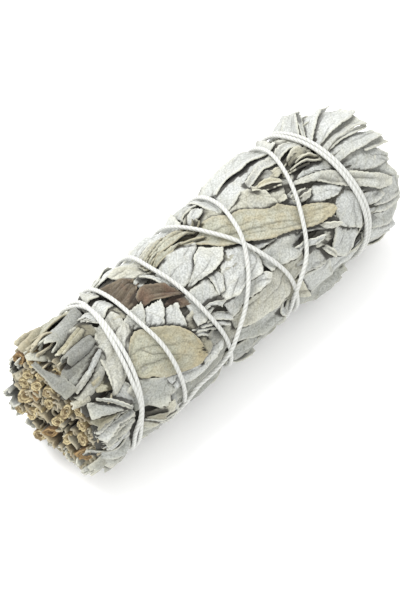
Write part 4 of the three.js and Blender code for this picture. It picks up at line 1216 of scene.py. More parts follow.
# From the middle to the fan
RIGHT = [
    Leaf(((17.5, 58), (22, 59.5), (26.5, 58)), ((17, 69.5), (22, 68), (26.5, 67)), fold=-0.1),
    Leaf(((25.6, 60), (26.8, 59.5), (27.4, 63), (26.5, 67.5)), ((26.3, 61), (26.7, 62), (26.6, 64.5),
         (26, 66.5)), curl=0.8),
    Leaf(((23.6, 51), (26, 47), (29, 45.4), (31, 47)), ((24, 55.5), (27, 58), (29.5, 57.4), (31.2, 51)),
         warm=0.4, curl=0.5, hem=0.5),
    Leaf(((21.5, 36), (25.5, 39.5), (28.5, 41.5), (31.5, 43.5)), ((22.5, 38.5), (25.5, 42.5), (28, 46),
         (31.5, 49)), shade=-0.1),
    Leaf(((32.4, 46), (30.3, 56), (28.3, 64), (26.6, 70)), ((36.6, 52), (37, 66), (35.4, 74), (31, 80))),
    Leaf(((34.8, 36), (33.4, 42), (31.8, 50), (33.5, 57)), ((38.3, 33.5), (40, 42), (40, 60), (37.2, 67)),
         shade=0.05, creases=3),
    Leaf(((28.3, 24.3), (29.6, 19.5), (32.6, 15.3), (35.5, 19.5), (38.9, 31.5)), ((28.4, 24.8), (31, 29.5),
         (33.6, 32.6), (36.5, 33.4), (38.9, 32)), shade=0.15, grow=0, sink=0),
    Leaf(((20.5, 12), (24.5, 9.5), (28.3, 9.5)), ((23, 17), (25.5, 23), (28, 19)), shade=0.1),
    Leaf(((18.5, -8), (22, -2), (26.5, 2.5)), ((20, 2), (22.5, 9), (25, 10)), shade=-0.1, warm=0.4),
    Leaf(((12.7, -12.5), (17, -15), (20, -11), (22, -2)), ((13, -9), (15.5, -3), (18.7, 5), (22, 11)),
         shade=-0.1, warm=0.5),
    Leaf(((31.5, 3.5), (36, 2.5), (40, 4)), ((33, 8.5), (36.8, 15), (40, 19.5)), shade=0.05),
    Leaf(((31.5, -13), (34.5, -16), (38.8, -15)), ((32, -9.5), (35, -11), (38.8, -10.5)), curl=0.9, grow=0.1,
         warm=0.6),
    Leaf(((19.3, -12), (22, -15.5), (26, -16.8), (30.5, -14.5)), ((20.5, -8.5), (23.5, -5.5), (27.5, -5.5),
         (30.5, -10)), crumple=0.25, grow=0.1, warm=0.6),
    Leaf(((20.5, -11.5), (23.5, -6), (27.5, -1)), ((19.8, -9), (22.8, -3.5), (26.5, 1.5)), lift=0.2, curl=0.9,
         grow=0, warm=0.6),
    Leaf(((32.8, -9.5), (36, -4), (39.8, 0)), ((32.4, -7), (35.5, -1), (39.6, 3)), curl=0.9, grow=0,
         warm=0.7),
    Leaf(((29.8, -9.5), (33, -4.5), (36.4, 0.5)), ((29.3, -6.5), (32, -2), (35.4, 3)), lift=0.2, curl=0.9,
         grow=0, warm=0.7),
]
# Broad pale leaves towards the back, by the fan
PALE = [
    Leaf(((15, -42), (20, -42), (26, -43), (33, -42)), ((12.6, -13.5), (17, -15.2), (21, -16.6),
         (24.4, -19.4), (28, -24), (34, -28.5)), shade=0.25, grow=0.1, sink=0.4, crumple=0.06),
    Leaf(((14, -60), (22, -62), (37, -60)), ((15, -37), (24, -36), (35.5, -37)), shade=0.2, curl=0.2,
         crumple=0.05, roll=0),
    Leaf(((21, -18.8), (28, -24.5), (35, -29), (39.5, -27)), ((21, -17.2), (28, -20), (34, -20.5),
         (39, -18.5)), curl=0.3, warm=0.1, lift=0.3),
]
# The fan's outer leaves, most of which flare out
FAN = [
    Leaf(((41, 60), (45, 64), (49, 66), (52.6, 68.5)), ((41, 64), (45.5, 69), (49, 71), (52.6, 73.5)),
         fold=0.35, curl=0.4, flare=0.6),
    Leaf(((44, 50), (47, 56), (50.5, 58), (53.3, 51)), ((43.5, 61), (47.5, 65.5), (51, 67.5), (54, 60)),
         shade=-0.1, flare=0.6),
    Leaf(((41, 48), (43, 50), (46, 48)), ((42, 58), (44, 59), (46.4, 56)), fold=0.3),
    Leaf(((40.5, 38), (43.5, 41), (46.5, 46)), ((41, 46), (43.5, 47), (46, 47.5)), curl=0.5),
    Leaf(((46, 36), (49, 37), (53, 41)), ((46, 46), (50, 49), (53, 53)), shade=-0.1, flare=0.6),
    Leaf(((40.6, 15), (45, 17), (49, 18.5), (52, 27), (54.4, 38)), ((42, 27), (45, 32), (48, 36), (51.5, 38),
         (54, 41)), shade=-0.1, flare=0.5, creases=3),
    Leaf(((48.5, 18), (51, 18), (55.2, 22)), ((48.5, 21), (51, 23.5), (55.4, 27)), fold=0.4, curl=0.3,
         flare=0.5, warm=0.2),
    Leaf(((40.5, 3), (44.5, 3.5), (50, 6), (54.8, 13)), ((41, 14), (46, 16), (50, 18), (55, 20)), shade=0.05,
         flare=0.6),
    Leaf(((42, 0), (46, 1.5), (50, 4), (54.2, 6)), ((42, 2.5), (46, 4.5), (50, 7), (54.4, 8.5)), curl=0.9,
         warm=0.3, flare=0.7, lift=0.3, grow=0.1),
    Leaf(((40.5, -9), (44, -8), (49, -9), (54.2, -8)), ((40.5, 1), (44.5, 0), (50, 2), (54.4, 5)), shade=0.15,
         flare=0.9, fold=-0.2),
    Leaf(((40.5, -14), (44.5, -19), (49.6, -29), (54.2, -24)), ((41, -7), (45, -6.5), (50, -6.5), (54.8, -8)),
         shade=0.25, flare=0.9),
    Leaf(((40.5, -21), (44, -33), (52.4, -58)), ((40.8, -13), (45, -20), (50.4, -31), (55, -45)), shade=0.3,
         flare=0.9),
    Leaf(((40.6, -20), (43.6, -34), (46.8, -51)), ((40.9, -18), (44.4, -31), (47.8, -47)), curl=0.7, lift=0.3,
         flare=0.6, grow=0),
    Leaf(((38, -80), (43, -82), (50, -86)), ((39, -50), (44, -54), (50, -66)), shade=0.2, flare=0.5),
    Leaf(((38.5, -47), (43, -52), (49, -62)), ((40, -23), (44, -37), (49, -56)), shade=0.25, flare=0.9),
    Leaf(((28.9, 2.5), (33.6, 9.5), (39.5, 18), (44.7, 33), (48.5, 42), (51.6, 53)), ((28.6, 5.5), (34, 17),
         (38.7, 32), (43, 42), (46.5, 52), (50, 57)), lift=0.5, curl=-0.5, warm=0.25, sink=0, grow=0),
]
# Leaves painted almost black: painted shade that stands for deep gaps between the others
GAP_SHADE_LEAVES = [
    Leaf(((30, -7), (32, -5), (35, 0.5)), ((30.4, 3), (32, 3.4), (35, 2.6)), dim=0.95),
    Leaf(((19, -10), (22, -7), (25.5, -2)), ((19, -6.5), (22, -2.6), (25.5, 1.5)), dim=0.7),
    Leaf(((28, 40), (30, 40.5), (33, 39)), ((28.4, 44), (30.4, 48.5), (32, 46)), dim=0.9),
    Leaf(((20.4, 54), (22, 52), (24, 51)), ((20, 59), (22, 58), (24, 55)), dim=0.8),
]
# Narrow crumpled strips: start, end, width, shade, warmth
STRIPS = [
    swept((x, degrees), ((x + end) / 2, (degrees + turn) / 2), (end, turn), width, Tip.BLUNT, curl=1.2,
          lift=0.25, shade=shade, warm=warm, crumple=0.3, creases=1)
    for x, degrees, end, turn, width, shade, warm in (
        (26, 13, 31, 16.5, 2.4, 0.1, 0.3), (27, 18, 30.5, 19.5, 1.8, 0.1, 0.2),
        (31, -16, 39.6, -13, 2.2, 0.2, 0.6), (21, -12, 27.5, -2, 2.3, 0.2, 0.7),
        (33, -12.5, 39.6, -8, 2.3, 0.2, 0.7), (31.5, -8, 39.6, 3, 2.2, 0.2, 0.7),
        (34.2, -9, 39.8, -2, 2, 0.2, 0.7), (18, 46, 27, 51, 2, 0.1, 0.1), (26, 41, 31.5, 50, 1.8, 0, 0.3),
        (25.8, 59, 26.6, 67, 1.9, 0.1, 0.3), (30, 84, 38, 82, 1.7, 0, 0.2),
    )
]
# Creased leaves behind the long olive leaf's root
STREAKS = [
    Leaf(((-12, -46), (-5, -44), (3, -39)), ((-12, -36), (-5, -31), (1.5, -27)), warm=0.5, creases=3,
         pleat=0.1, shade=0.2),
    Leaf(((-12, -36), (-6, -33.5), (-1, -31.5)), ((-12, -33.5), (-6, -31), (-1, -29.5)), warm=0.6, curl=0.8),
    Leaf(((-12, -31), (-5, -29), (2, -28.5), (6, -26)), ((-12, -24.5), (-5, -23), (2, -22.5), (6, -21)),
         warm=0.6, curl=0.4, shade=0.2, creases=4),
]
# The long olive leaf, and narrow pleats over its root
LONG_OLIVE = [
    Leaf(((-11, -25), (-5, -24), (1, -25), (6, -22), (10, -15), (12.6, -9.7), (15.1, -3.3), (18.7, 5.5),
         (21.9, 11.3), (26, 22), (30, 27.5), (33, 34)), ((-11, -20.5), (-5, -19), (-2, -15), (0.5, -10),
         (2.5, -3), (4.5, 6), (8.5, 12), (10, 17), (15, 25), (21.9, 34.5), (25.8, 39.6), (31, 42.6),
         (33.2, 40)), lift=0.2, crumple=0.12, rib=0.1, age=0.5, shade=0.15, ragged=0.45, creases=3,
         pleat=0.05, grow=0),
] + [
    swept((x, degrees), ((x + end) / 2, bend), (end, turn), width, Tip.POINTED, curl=1.1, lift=0.1,
          shade=0.35, crumple=0.2, creases=1, sink=1.4)
    for x, degrees, bend, end, turn, width in (
        (-12, -37, -34, 4, -36, 2), (-12, -33, -28, 4.4, -32, 2.2), (-12, -29, -26, 5.4, -27.5, 2),
        (-12, -25.5, -24.5, 6, -22, 1.9), (-12, -21.5, -22, 4, -11, 1.6),
    )
]

# The pieces in the order in which they are laid
LAID = [
    ("near_leaves", FLANK + BUTT + DARK_BASES), ("tube_olive_leaf", TUBE_OLIVE),
    ("ridge_olive_leaf", RIDGE_OLIVE), ("near_leaves", LEFT_LOW), ("wide_brown_leaf", WIDE_BROWN),
    ("near_leaves", LEFT_MIDDLE), ("slim_brown_leaf", SLIM_BROWN), ("near_leaves", LEFT_HIGH),
    ("broad_olive_leaf", BROAD_OLIVE),
    ("upper_leaves", MIDDLE + GAP_SHADE_LEAVES + RIGHT + STRIPS + PALE + FAN + STREAKS), ("long_olive_leaf", LONG_OLIVE),
]
# The node and the kind of leaf of each coloured piece
COLOURED = {
    "tube_olive_leaf": ("olive_leaf_3", Tone.OLIVE), "ridge_olive_leaf": ("olive_leaf_4", Tone.OLIVE),
    "broad_olive_leaf": ("olive_leaf_2", Tone.OLIVE), "long_olive_leaf": ("olive_leaf_1", Tone.OLIVE),
    "wide_brown_leaf": ("brown_leaf_1", Tone.BROWN), "slim_brown_leaf": ("brown_leaf_2", Tone.BROWN),
}


@dataclass
class Bundle:
    """The leaves as a sub-assembly: an inner layer all round, shingles on the side that lies away and
    underneath, the leaves from the tables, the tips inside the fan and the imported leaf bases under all."""

    skin: Skin
    route: StringRoute
    twigs: tuple[tuple[float, float, float, float], ...]
    seed: int = 77
    # Radius, how many leaf tips stand there, and where they end
    fan_rings: tuple[tuple[float, int, float], ...] = (
        (16.6, 22, 52.4), (15.2, 20, 51.8), (13.3, 19, 51.6), (11.4, 16, 51.8), (9.2, 13, 51.8),
        (7.2, 10, 51.9), (5.2, 8, 52.0), (3.0, 5, 52.2), (0.8, 3, 52.4),
    )
    fan_root: float = 36.0
    # The first ring of leaves, where the rings stop and the step between them
    under_rings: Triple = (-38.0, 46.0, 7.0)
    per_ring: int = 12
    under_ends: Point = (-47.0, 51.0)
    shingle_ends: Point = (-49.0, 51.5)
    # Degrees where the shingles start and stop, their step, each other ring's shift, and where their painted
    # shade on the low flank ends
    hidden_side: Point = (102.0, 306.0)
    shingle_step: float = 18.5
    shingle_shift: float = 9.0
    shaded_to: float = 122.0
    # Height and place of the cut across the leaf bases
    cut_line: tuple[Point, ...] = ((3.0, -50.0), (9.0, -51.6), (17.0, -50.0), (31.0, -45.6))
    base_root: float = -39.0
    # The first ring of leaf bases, where the rings stop, the step between them, and the room for each base
    base_rings: Triple = (1.3, 16.4, 1.9)
    base_room: float = 3.0
    clasps: int = 3
    twig_gap: float = 0.5
    lowest: float = 1.2
    open_from: float = 15.6
    core_ends: Point = (-41.0, 42.0)
    core_rings: int = 60
    core_sides: int = 97
    core_depth: float = 3.0
    core_rough: float = 0.35

    def __post_init__(self) -> None:
        """Starts an empty heap."""
        self.rng = np.random.default_rng(self.seed)
        self.heap = LeafHeap(self.skin, self.route)

    def under_layer(self) -> list[Leaf]:
        """Long leaves all round, in rings that lap over each other, painted dull for the shade where they lie
        deep.
        """
        made = []
        for ring, x in enumerate(np.arange(*self.under_rings)):
            for k in range(self.per_ring):
                degrees = 360.0 / self.per_ring * (k + 0.5 * (ring % 2)) + self.rng.normal(0, 5)
                way = -1.0 if x < -20 else 1.0
                end = np.clip(x + way * self.rng.uniform(13, 18), *self.under_ends)
                slant = self.rng.normal(0, 8)
                made.append(swept((x, degrees), ((x + end) / 2, degrees + slant / 2), (end, degrees + slant),
                                  self.rng.uniform(8, 11), fold=self.rng.normal(0, 0.12), crumple=0.3,
                                  shade=-0.5, warm=0.3, hem=0.5, sink=1.0, spacing=0.85))
        return made

    def shingles(self) -> list[Leaf]:
        """Leaves over the side that lies away and underneath, each with its own slant, fold and curl."""
        made = []
        rings = [(x, -1.0) for x in (-21.0, -27.0, -33.0)] + [(x, 1.0) for x in np.arange(-34.0, 44.0, 6.0)]
        for ring, (x, way) in enumerate(rings):
            for k in range(self.per_ring):
                degrees = self.hidden_side[0] + self.shingle_step * k + self.shingle_shift * (ring % 2)
                degrees += self.rng.normal(0, 4)
                if degrees > self.hidden_side[1]:
                    continue
                end = np.clip(x + way * self.rng.uniform(9, 19), *self.shingle_ends)
                slant = self.rng.normal(0, 11)
                narrow = self.rng.random() < 0.3
                width = self.rng.uniform(3, 5) if narrow else self.rng.uniform(6.5, 10)
                tip = Tip.CUT if end < -44 else (Tip.ROUND, Tip.POINTED, Tip.BLUNT)[self.rng.integers(3)]
                middle = ((x + end) / 2, degrees + slant / 2 + self.rng.normal(0, 4))
                # Shingles low on the flank are painted duller and dim: painted shade
                shaded = degrees < self.shaded_to
                made.append(swept((x, degrees), middle, (end, degrees + slant), width, tip,
                                  fold=self.rng.normal(0.05, 0.14),
                                  curl=0.8 if narrow else self.rng.normal(0, 0.2), crumple=0.2,
                                  shade=self.rng.normal(0.1, 0.15) - 0.4 * shaded,
                                  warm=max(0.0, self.rng.normal(0.05, 0.12)), dim=0.2 * shaded,
                                  hem=self.rng.uniform(0.0, 0.4), flare=0.8 if end > 48 else 0.0,
                                  spacing=0.55, ragged=1.0 if end < -44 else 0.2))
        return made

    def fan(self) -> list[Shell]:
        """Leaf tips that stand inside the open end, ring within ring, and close over it as a low dome."""
        made = []
        axis = self.skin.axis_height
        for radius, count, end in self.fan_rings:
            for k in range(count):
                turn = math.radians(360.0 * (k + 0.5 * (count % 2)) / count + self.rng.normal(0, 8))
                outward = out_at(turn)
                sideways = np.array([0.0, math.cos(turn), math.sin(turn)]) * self.rng.normal(0, 1.2)
                root = np.array([self.fan_root, 0.0, axis]) + outward * radius * 0.92
                spread = radius * self.rng.uniform(0.92, 1.06) + self.rng.normal(0, 0.3)
                tip = np.array([end + self.rng.uniform(-1.8, 0.6), 0.0, axis]) + outward * spread + sideways
                leaf = Leaf(width=self.rng.uniform(5.5, 9.0), fold=self.rng.normal(0.2, 0.25),
                            curl=self.rng.normal(0.5, 0.4), flare=self.rng.uniform(0.2, 1.2), crumple=0.4,
                            shade=self.rng.normal(0.05, 0.15), warm=max(0.0, self.rng.normal(0.1, 0.15)),
                            hem=0.5, ragged=self.rng.uniform(0, 0.8), spacing=0.65,
                            tip=Tip.POINTED if self.rng.random() < 0.4 else Tip.ROUND)
                # Painted shade that deepens towards the roots inside the fan
                made.append(self.heap.free_leaf(leaf, root, tip, outward, 0.85, 9.0))
        return made

    def cut_end(self) -> list[Shell]:
        """Folded and rolled leaf bases that fill the cut end between the twigs, cut off at a slant."""
        made = []
        twigs = np.array(self.twigs)
        axis = self.skin.axis_height
        for radius in np.arange(*self.base_rings):
            count = max(3, int(2 * math.pi * radius / self.base_room))
            for k in range(count):
                turn = 2 * math.pi * k / count + self.rng.normal(0, 0.12) + radius
                out = radius + self.rng.normal(0, 0.4)
                y, z = -out * math.sin(turn), axis + out * math.cos(turn)
                free = np.hypot(twigs[:, 0] - y, twigs[:, 1] - z) - twigs[:, 3]
                if free.min() < self.twig_gap or z < self.lowest:
                    continue
                end = np.interp(z, *np.array(self.cut_line).T) + self.rng.uniform(-0.2, 2.4)
                bulge = np.array([0.0, *self.rng.normal(0, 1, 2)]) + np.array([0.0, y, z - axis]) * 0.08
                leaf = Leaf(width=self.rng.uniform(3.4, 7.5), fold=self.rng.uniform(0.0, 0.4),
                            curl=self.rng.uniform(0.9, 2.7), flare=self.rng.normal(0, 0.4), crumple=0.2,
                            shade=self.rng.normal(-0.1, 0.5), warm=abs(self.rng.normal(0.3, 0.4)), hem=0.4,
                            ragged=0.5, spacing=0.55, tip=Tip.CUT, dim=0.05)
                root = np.array([self.base_root, y * 0.96, axis + (z - axis) * 0.96])
                tip = np.array([end, y + self.rng.normal(0, 0.5), max(1.0, z + self.rng.normal(0, 0.5))])
                # Bases deep in the cut end get full painted shade towards their roots, those near the rim
                # little
                made.append(self.heap.free_leaf(leaf, root, tip, bulge, 1.0 if radius < 14 else 0.2, 1.0))
        return made

    def wraps(self) -> list[Shell]:
        """Leaf bases that clasp the twigs: each twig has a few, bent round it and cut off with it. Those
        inside the bundle are painted dark towards their roots, as shade; those that stand in the open get
        little of that painted shade, and are less brown."""
        made = []
        for y, z, cut, radius in self.twigs:
            for k in range(self.clasps):
                turn = self.rng.uniform(0, 2 * math.pi)
                bulge = out_at(turn)
                off = radius + 0.35 + 0.45 * k
                width = off * self.rng.uniform(2.0, 4.2)
                leaf = Leaf(width=width, curl=-0.5 * width / off, crumple=0.15, hem=0.2,
                            shade=self.rng.normal(-0.1, 0.4), warm=abs(self.rng.normal(0.6, 0.4)), ragged=0.4,
                            spacing=0.5, tip=Tip.CUT, roll=0.0)
                place = np.array([0.0, y, z]) + bulge * off
                end = cut + self.rng.uniform(-0.3, 1.3) + 0.35 * off * math.cos(turn)
                ends = [place + np.array([at, 0.0, 0.0]) for at in (self.base_root, end)]
                outside = math.hypot(place[1], place[2] - self.skin.axis_height) > self.open_from
                # Painted shade deep inside, only a little for bases in the open
                made.append(self.heap.free_leaf(leaf, *ends, bulge, 0.12 if outside else 1.0, 1.0))
                if outside:
                    made[-1].paint[:, 3] *= 0.25
        return made

    def rolled(self) -> list[Shell]:
        """The rolled leaves that lie on the cut end's side, and the bent ones that one looks into."""
        made = []
        for leaf, root, tip, *back in ROLLED + CUPS:
            ends = [self.skin.place(*(np.array(value) for value in point)) for point in (root, tip)]
            turn = math.radians(back[0] if back else 0.5 * (root[1] + tip[1]))
            # Painted shade deep in each leaf: strong inside the cups, mild along the rolled leaves
            made.append(self.heap.free_leaf(leaf, *ends, out_at(turn), *((1.0, 1.8) if back else (0.5, 9.0))))
        return made

    def core(self) -> Shell:
        """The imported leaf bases: rings round the axis that swell to the skin less a depth, closed at the
        ends, and roughened by noise."""
        first, last = self.core_ends
        x = np.concatenate([[first], np.linspace(first, last, self.core_rings), [last]])
        share = np.ones(len(x))
        share[[0, -1]] = 0.02
        turns = np.linspace(0.0, 360.0, self.core_sides)
        rough = grid_noise((len(x), self.core_sides), (30, 24), self.rng)
        rough[:, -1] = rough[:, 0]
        radius = (self.skin.radius(x) - self.core_depth)[:, None] + self.core_rough * rough
        radius *= share[:, None]
        height = radius - self.skin.radius(x)[:, None]
        middle = self.skin.place(x[:, None], turns[None, :], height)
        paint = np.zeros(middle.shape[:2] + (4,))
        # Painted mostly dark: the shade deep inside the bundle
        paint[..., 0], paint[..., 1], paint[..., 3] = 0.2, 0.85, 0.3
        return shell_of(middle, np.full(middle.shape[:2], 0.4), middle[..., :2], paint)

    def build(self) -> list[bpy.types.Object]:
        """Lays all leaves, draws the heap in and makes the pieces.

        Returns:
            The pieces, each riding on the frame.
        """
        finishes = {Tone.GREY: GREY_LEAF.material(), Tone.OLIVE: OLIVE_LEAF.material(),
                    Tone.BROWN: BROWN_LEAF.material()}
        self.heap.lay("under_leaves", self.under_layer())
        self.heap.lay("far_leaves", self.shingles())
        for group, leaves in LAID:
            self.heap.lay(group, leaves)
        self.heap.draw_in()
        rolled = self.rolled()
        self.heap.paint_gap_shade(rolled)
        made = []
        for group in self.heap.blades:
            node, tone = COLOURED.get(group, ("sage_leaves", Tone.GREY))
            shells = self.heap.shells(group)
            if group == "under_leaves":
                shells.append(self.core())
            made.append(add_piece(group, shells, finishes[tone], node))
        made.append(add_piece("fan_leaves", self.fan(), finishes[Tone.GREY]))
        made.append(add_piece("cut_leaf_bases", self.cut_end() + self.wraps(), BASE_LEAF.material()))
        made.append(add_piece("rolled_leaves", rolled, finishes[Tone.GREY]))
        return made


@dataclass
class CutStems:
    """The cut twigs at the butt: a ribbed shaft, a rim, a ring of wood and a pith that has shrunk in."""

    seed: int = 5
    root: float = -37.0
    around: int = 32
    # Across, height, place of the cut, radius
    places: tuple[tuple[float, float, float, float], ...] = (
        (13.0, 26.7, -47.4, 1.6), (9.0, 29.8, -46.4, 2.0), (4.9, 29.3, -47.4, 1.4), (8.8, 25.3, -48.5, 1.4),
        (5.3, 25.4, -48.9, 1.3), (1.7, 26.6, -48.4, 1.5), (1.9, 31.2, -45.0, 1.4), (9.5, 21.6, -49.4, 1.5),
        (8.6, 17.4, -50.3, 1.9), (5.3, 21.5, -49.5, 1.2), (1.1, 22.5, -49.1, 1.5), (-2.6, 19.4, -49.9, 1.6),
        (-4.3, 25.4, -48.5, 1.7), (-7.6, 28.4, -47.4, 1.3), (-9.4, 24.9, -48.3, 1.4),
        (-10.4, 20.8, -49.4, 1.6), (-12.0, 16.4, -50.3, 1.9), (5.6, 13.6, -51.4, 1.5),
        (3.2, 17.6, -50.7, 1.3), (-1.6, 14.8, -51.9, 1.5), (-6.6, 17.0, -50.5, 1.4), (-7.8, 12.0, -51.6, 1.5),
        (1.8, 9.4, -52.6, 1.6), (9.8, 9.8, -51.2, 1.5), (-2.4, 30.3, -46.2, 1.1),
    )
    # The twigs that the photo shows orange, by number
    orange: tuple[int, ...] = (1, 10, 17, 20)
    slant: Point = (0.3, 0.8)
    slant_reach: float = 5.0
    shaft_rings: int = 22
    # How many ribs there are round a shaft, and how high as a share of its radius
    ribs: tuple[tuple[int, float], ...] = ((3, 0.06), (7, 0.04))
    bumps: float = 0.05
    fray: float = 0.14
    shade_reach: float = 2.2
    # Share of the radius, how far behind the cut's plane, and the paint from pith to bark
    face: tuple[Triple, ...] = (
        (1.0, 0.35, 1.0), (0.96, 0.08, 0.93), (0.86, 0.0, 0.86), (0.74, 0.03, 0.72), (0.66, 0.16, 0.62),
        (0.58, 0.06, 0.5), (0.46, 0.05, 0.4), (0.38, 0.3, 0.3), (0.2, 0.8, 0.1), (0.01, 0.9, 0.0),
    )

    def build(self) -> list[bpy.types.Object]:
        """Makes one piece for each twig."""
        rng = np.random.default_rng(self.seed)
        finishes = (STRAW_STEM.material(), ORANGE_STEM.material())
        made = []
        for k, place in enumerate(self.places, start=1):
            shell = self.stem(place, rng)
            made.append(add_piece(f"cut_twig_{k}", [shell], finishes[k in self.orange], f"stem_{k}"))
        return made

    def stem(self, place: tuple[float, float, float, float], rng: np.random.Generator) -> Shell:
        """One twig: rings along the shaft, then rings that run in over the cut to the pith.

        Args:
            place: across, height, place of the cut, radius.
            rng: the seeded generator.

        Returns:
            The closed twig.
        """
        y, z, cut, radius = place
        shaft = np.linspace(self.root, cut + 0.6, self.shaft_rings)
        share, behind, tone = np.array(self.face).T
        x = np.concatenate([[self.root], shaft, cut + behind])
        wide = np.concatenate([[0.01], np.ones(len(shaft)), share])
        paint_red = np.concatenate([np.ones(1 + len(shaft)), tone])
        turn = np.linspace(0, 2 * np.pi, self.around, endpoint=False)
        squash, lean = rng.uniform(0.66, 1.0), rng.uniform(0, np.pi)
        ridges = 1 + sum(height * np.sin(count * turn + rng.uniform(0, 6)) for count, height in self.ribs)
        rough = 1 + self.bumps * grid_noise((len(x), self.around), (14, 14), rng)
        r = radius * wide[:, None] * ridges[None, :] * rough
        r = r * (squash + (1 - squash) * np.cos(turn - lean)[None, :] ** 2)
        near_cut = np.clip((cut + self.slant_reach - x) / self.slant_reach, 0.0, 1.0)[:, None]
        rise, aside = rng.uniform(*self.slant), rng.normal(0.25, 0.2)
        frayed = self.fray * rng.standard_normal(self.around)[None, :] * (wide[:, None] > 0.7)
        px = x[:, None] + near_cut * (r * (rise * np.sin(turn) - aside * np.cos(turn))[None, :] + frayed)
        points = np.stack(np.broadcast_arrays(px, y + r * np.cos(turn), z + r * np.sin(turn)), -1)
        paint = np.zeros((len(x), self.around, 4))
        paint[..., 0] = paint_red[:, None]
        # Painted shade that darkens the shaft behind the cut, deeper into the bundle
        paint[..., 1] = np.clip((x[:, None] - cut - 0.7) / self.shade_reach, 0, 0.92)
        uv = np.stack(np.broadcast_arrays(turn[None, :] * radius, x[:, None]), -1)
        return tube_of(points, uv, paint, turned=True)


@dataclass
class CottonString:
    """The string: twisted plies along the whole route, and a knot where its ends meet."""

    skin: Skin
    route: StringRoute
    step: float = 0.3
    sides: int = 15
    plies: int = 3
    lay_length: float = 3.9
    knot_at: Triple = (-35.0, -108.0, 0.6)
    knot_radius: float = 1.25
    # The section's radius in the grooves, and what a ply adds, as shares of the string's radius
    groove: float = 0.92
    ply: float = 0.11

    def sweep(self, middle: Array, outward: Array) -> Shell:
        """A round section with a bulge for each ply, carried along a line and turned once a lay length.

        Args:
            middle: the line's points in millimetres.
            outward: a direction at each point that lies roughly across the line.

        Returns:
            The closed string.
        """
        along = np.gradient(middle, axis=0)
        pace = np.linalg.norm(along, axis=1, keepdims=True)
        along /= pace
        side = np.cross(along, outward)
        side /= np.linalg.norm(side, axis=1, keepdims=True)
        up = np.cross(side, along)
        length = np.cumsum(pace[:, 0])
        turn = np.linspace(0, 2 * np.pi, self.sides, endpoint=False)[None, :]
        phase = 0.5 * self.plies * (turn - 2 * np.pi * length[:, None] / self.lay_length)
        bulge = np.abs(np.cos(phase))
        r = self.route.radius * (self.groove + self.ply * bulge)
        r[[0, -1]] *= 0.05
        points = middle[:, None] + r[..., None] * (np.cos(turn)[..., None] * up[:, None]
                                                   + np.sin(turn)[..., None] * side[:, None])
        uv = np.stack(np.broadcast_arrays(turn * self.route.radius, length[:, None]), -1)
        paint = np.zeros((len(middle), self.sides, 4))
        # Painted shade in the grooves between the plies, none on each ply's crest
        paint[..., 0] = (1 - bulge) ** 2
        return tube_of(points, uv, paint)

    def knot(self) -> Shell:
        """An overhand knot: a trefoil line, whose two ends taper and meet."""
        t = np.linspace(0.0, 2 * np.pi, 160)
        loop = np.stack([np.sin(t) + 2 * np.sin(2 * t), np.cos(t) - 2 * np.cos(2 * t), -np.sin(3 * t)], -1)
        loop *= self.knot_radius / 2.6
        x, degrees, height = self.knot_at
        centre = self.skin.place(np.array(x), np.array(degrees), np.array(height + 0.3))
        turn = math.radians(degrees)
        outward = out_at(turn)
        around = np.cross(outward, [1.0, 0.0, 0.0])
        points = centre + loop[:, :1] * np.array([1.0, 0, 0]) + loop[:, 1:2] * around + loop[:, 2:] * outward
        return self.sweep(points, np.tile(outward + 1e-3, (len(points), 1)) + 0.2 * np.sin(t)[:, None])

    def build(self) -> bpy.types.Object:
        """Makes the string piece."""
        middle = self.route.middle(self.skin, self.step)
        axis = np.array([0.0, 0.0, self.skin.axis_height])
        outward = (middle - axis) * np.array([0.0, 1.0, 1.0])
        shells = [self.sweep(middle, outward), self.knot()]
        piece = add_piece("bound_cotton_string", shells, COTTON.material(), "cotton_string")
        length = np.linalg.norm(np.diff(middle, axis=0), axis=1).sum()
        log.info("string is %.0f mm long", length)
        return piece


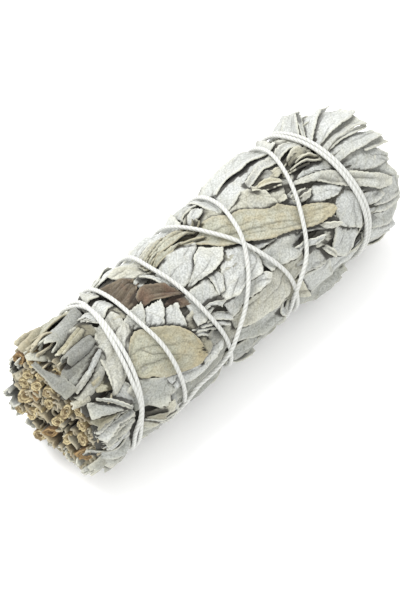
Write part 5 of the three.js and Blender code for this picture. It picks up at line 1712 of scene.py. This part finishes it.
@dataclass
class Studio:
    """Plain pale floor, soft white light and the camera."""

    azimuth: float = -44.5
    elevation: float = 61.0
    distance: float = 0.470
    focal_px: float = 1927.0
    frame_px: float = 601.0
    sensor: float = 36.0
    target: Triple = (0.0, 0.0, 0.017)
    aim_left: float = 0.00037
    aim_down: float = 0.00256
    floor_half: float = 1.5
    sky: float = 1.25
    # Each light's name, place, size and power
    lights: tuple[tuple[str, Triple, float, float], ...] = (
        ("key_light", (-0.05, 0.42, 0.8), 0.45, 5.9), ("fill_light", (-0.5, -0.5, 0.6), 0.8, 0.9),
    )

    def camera(self) -> None:
        """Places the camera at the photo's angle, aimed a little off the middle of the bundle."""
        turn, rise = math.radians(self.azimuth), math.radians(self.elevation)
        back = Vector((math.sin(turn) * math.cos(rise), -math.cos(turn) * math.cos(rise), math.sin(rise)))
        right = Vector((math.cos(turn), math.sin(turn), 0.0))
        up = back.cross(right)
        aim = Vector(self.target) - right * self.aim_left - up * self.aim_down
        data = bpy.data.cameras.new("studio_camera")
        data.sensor_fit = "VERTICAL"
        data.sensor_height = self.sensor
        data.lens = self.focal_px * self.sensor / self.frame_px
        data.clip_start, data.clip_end = 0.01, 10.0
        camera = bpy.data.objects.new("studio_camera", data)
        camera.matrix_world = Matrix.Translation(aim + back * self.distance) @ Matrix(
            (right, up, back)).transposed().to_4x4()
        bpy.context.scene.collection.objects.link(camera)
        bpy.context.scene.camera = camera

    def light(self, name: str, place: Triple, size: float, power: float) -> None:
        """Adds a square soft light that faces the bundle."""
        data = bpy.data.lights.new(name, "AREA")
        data.size, data.energy = size, power
        lamp = bpy.data.objects.new(name, data)
        lamp.location = place
        lamp.rotation_euler = (Vector(place) - Vector(self.target)).to_track_quat("Z", "Y").to_euler()
        bpy.context.scene.collection.objects.link(lamp)

    def build(self) -> None:
        """Makes the floor, the lights and the camera."""
        self.camera()
        for light in self.lights:
            self.light(*light)
        world = bpy.data.worlds.new("white_room")
        world.use_nodes = True
        world.node_tree.nodes["Background"].inputs[0].default_value = (1.0, 1.0, 1.0, 1.0)
        world.node_tree.nodes["Background"].inputs[1].default_value = self.sky
        bpy.context.scene.world = world
        bpy.context.scene.view_settings.view_transform = "Standard"
        mesh = bpy.data.meshes.new("studio_floor")
        half = self.floor_half
        square = [(-half, -half, 0), (half, -half, 0), (half, half, 0), (-half, half, 0)]
        mesh.from_pydata(square, [], [(0, 1, 2, 3)])
        material = bpy.data.materials.new("white paper floor")
        material.use_nodes = True
        shader = material.node_tree.nodes["Principled BSDF"]
        shader.inputs["Base Color"].default_value = srgb("#fdfdfd")
        shader.inputs["Roughness"].default_value = 0.9
        mesh.materials.append(material)
        floor = bpy.data.objects.new("studio_floor", mesh)
        bpy.context.scene.collection.objects.link(floor)
        floor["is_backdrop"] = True


def corners() -> list[list[float]]:
    """The whole object's lowest and highest corner."""
    return [[float(value) for value in corner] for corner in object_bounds()]


def main() -> None:
    """Builds the bundle, its twigs, its string and the studio, and reports each piece."""
    logging.basicConfig(level=logging.INFO, format="%(message)s")
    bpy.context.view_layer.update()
    skin, route = Skin(), StringRoute()
    twigs = CutStems()
    pieces = Bundle(skin, route, twigs.places).build() + twigs.build()
    pieces.append(CottonString(skin, route).build())
    Studio().build()
    for piece in pieces:
        log.info("%s: %d faces", piece.name, len(piece.data.polygons))


if __name__ == "__main__":
    main()
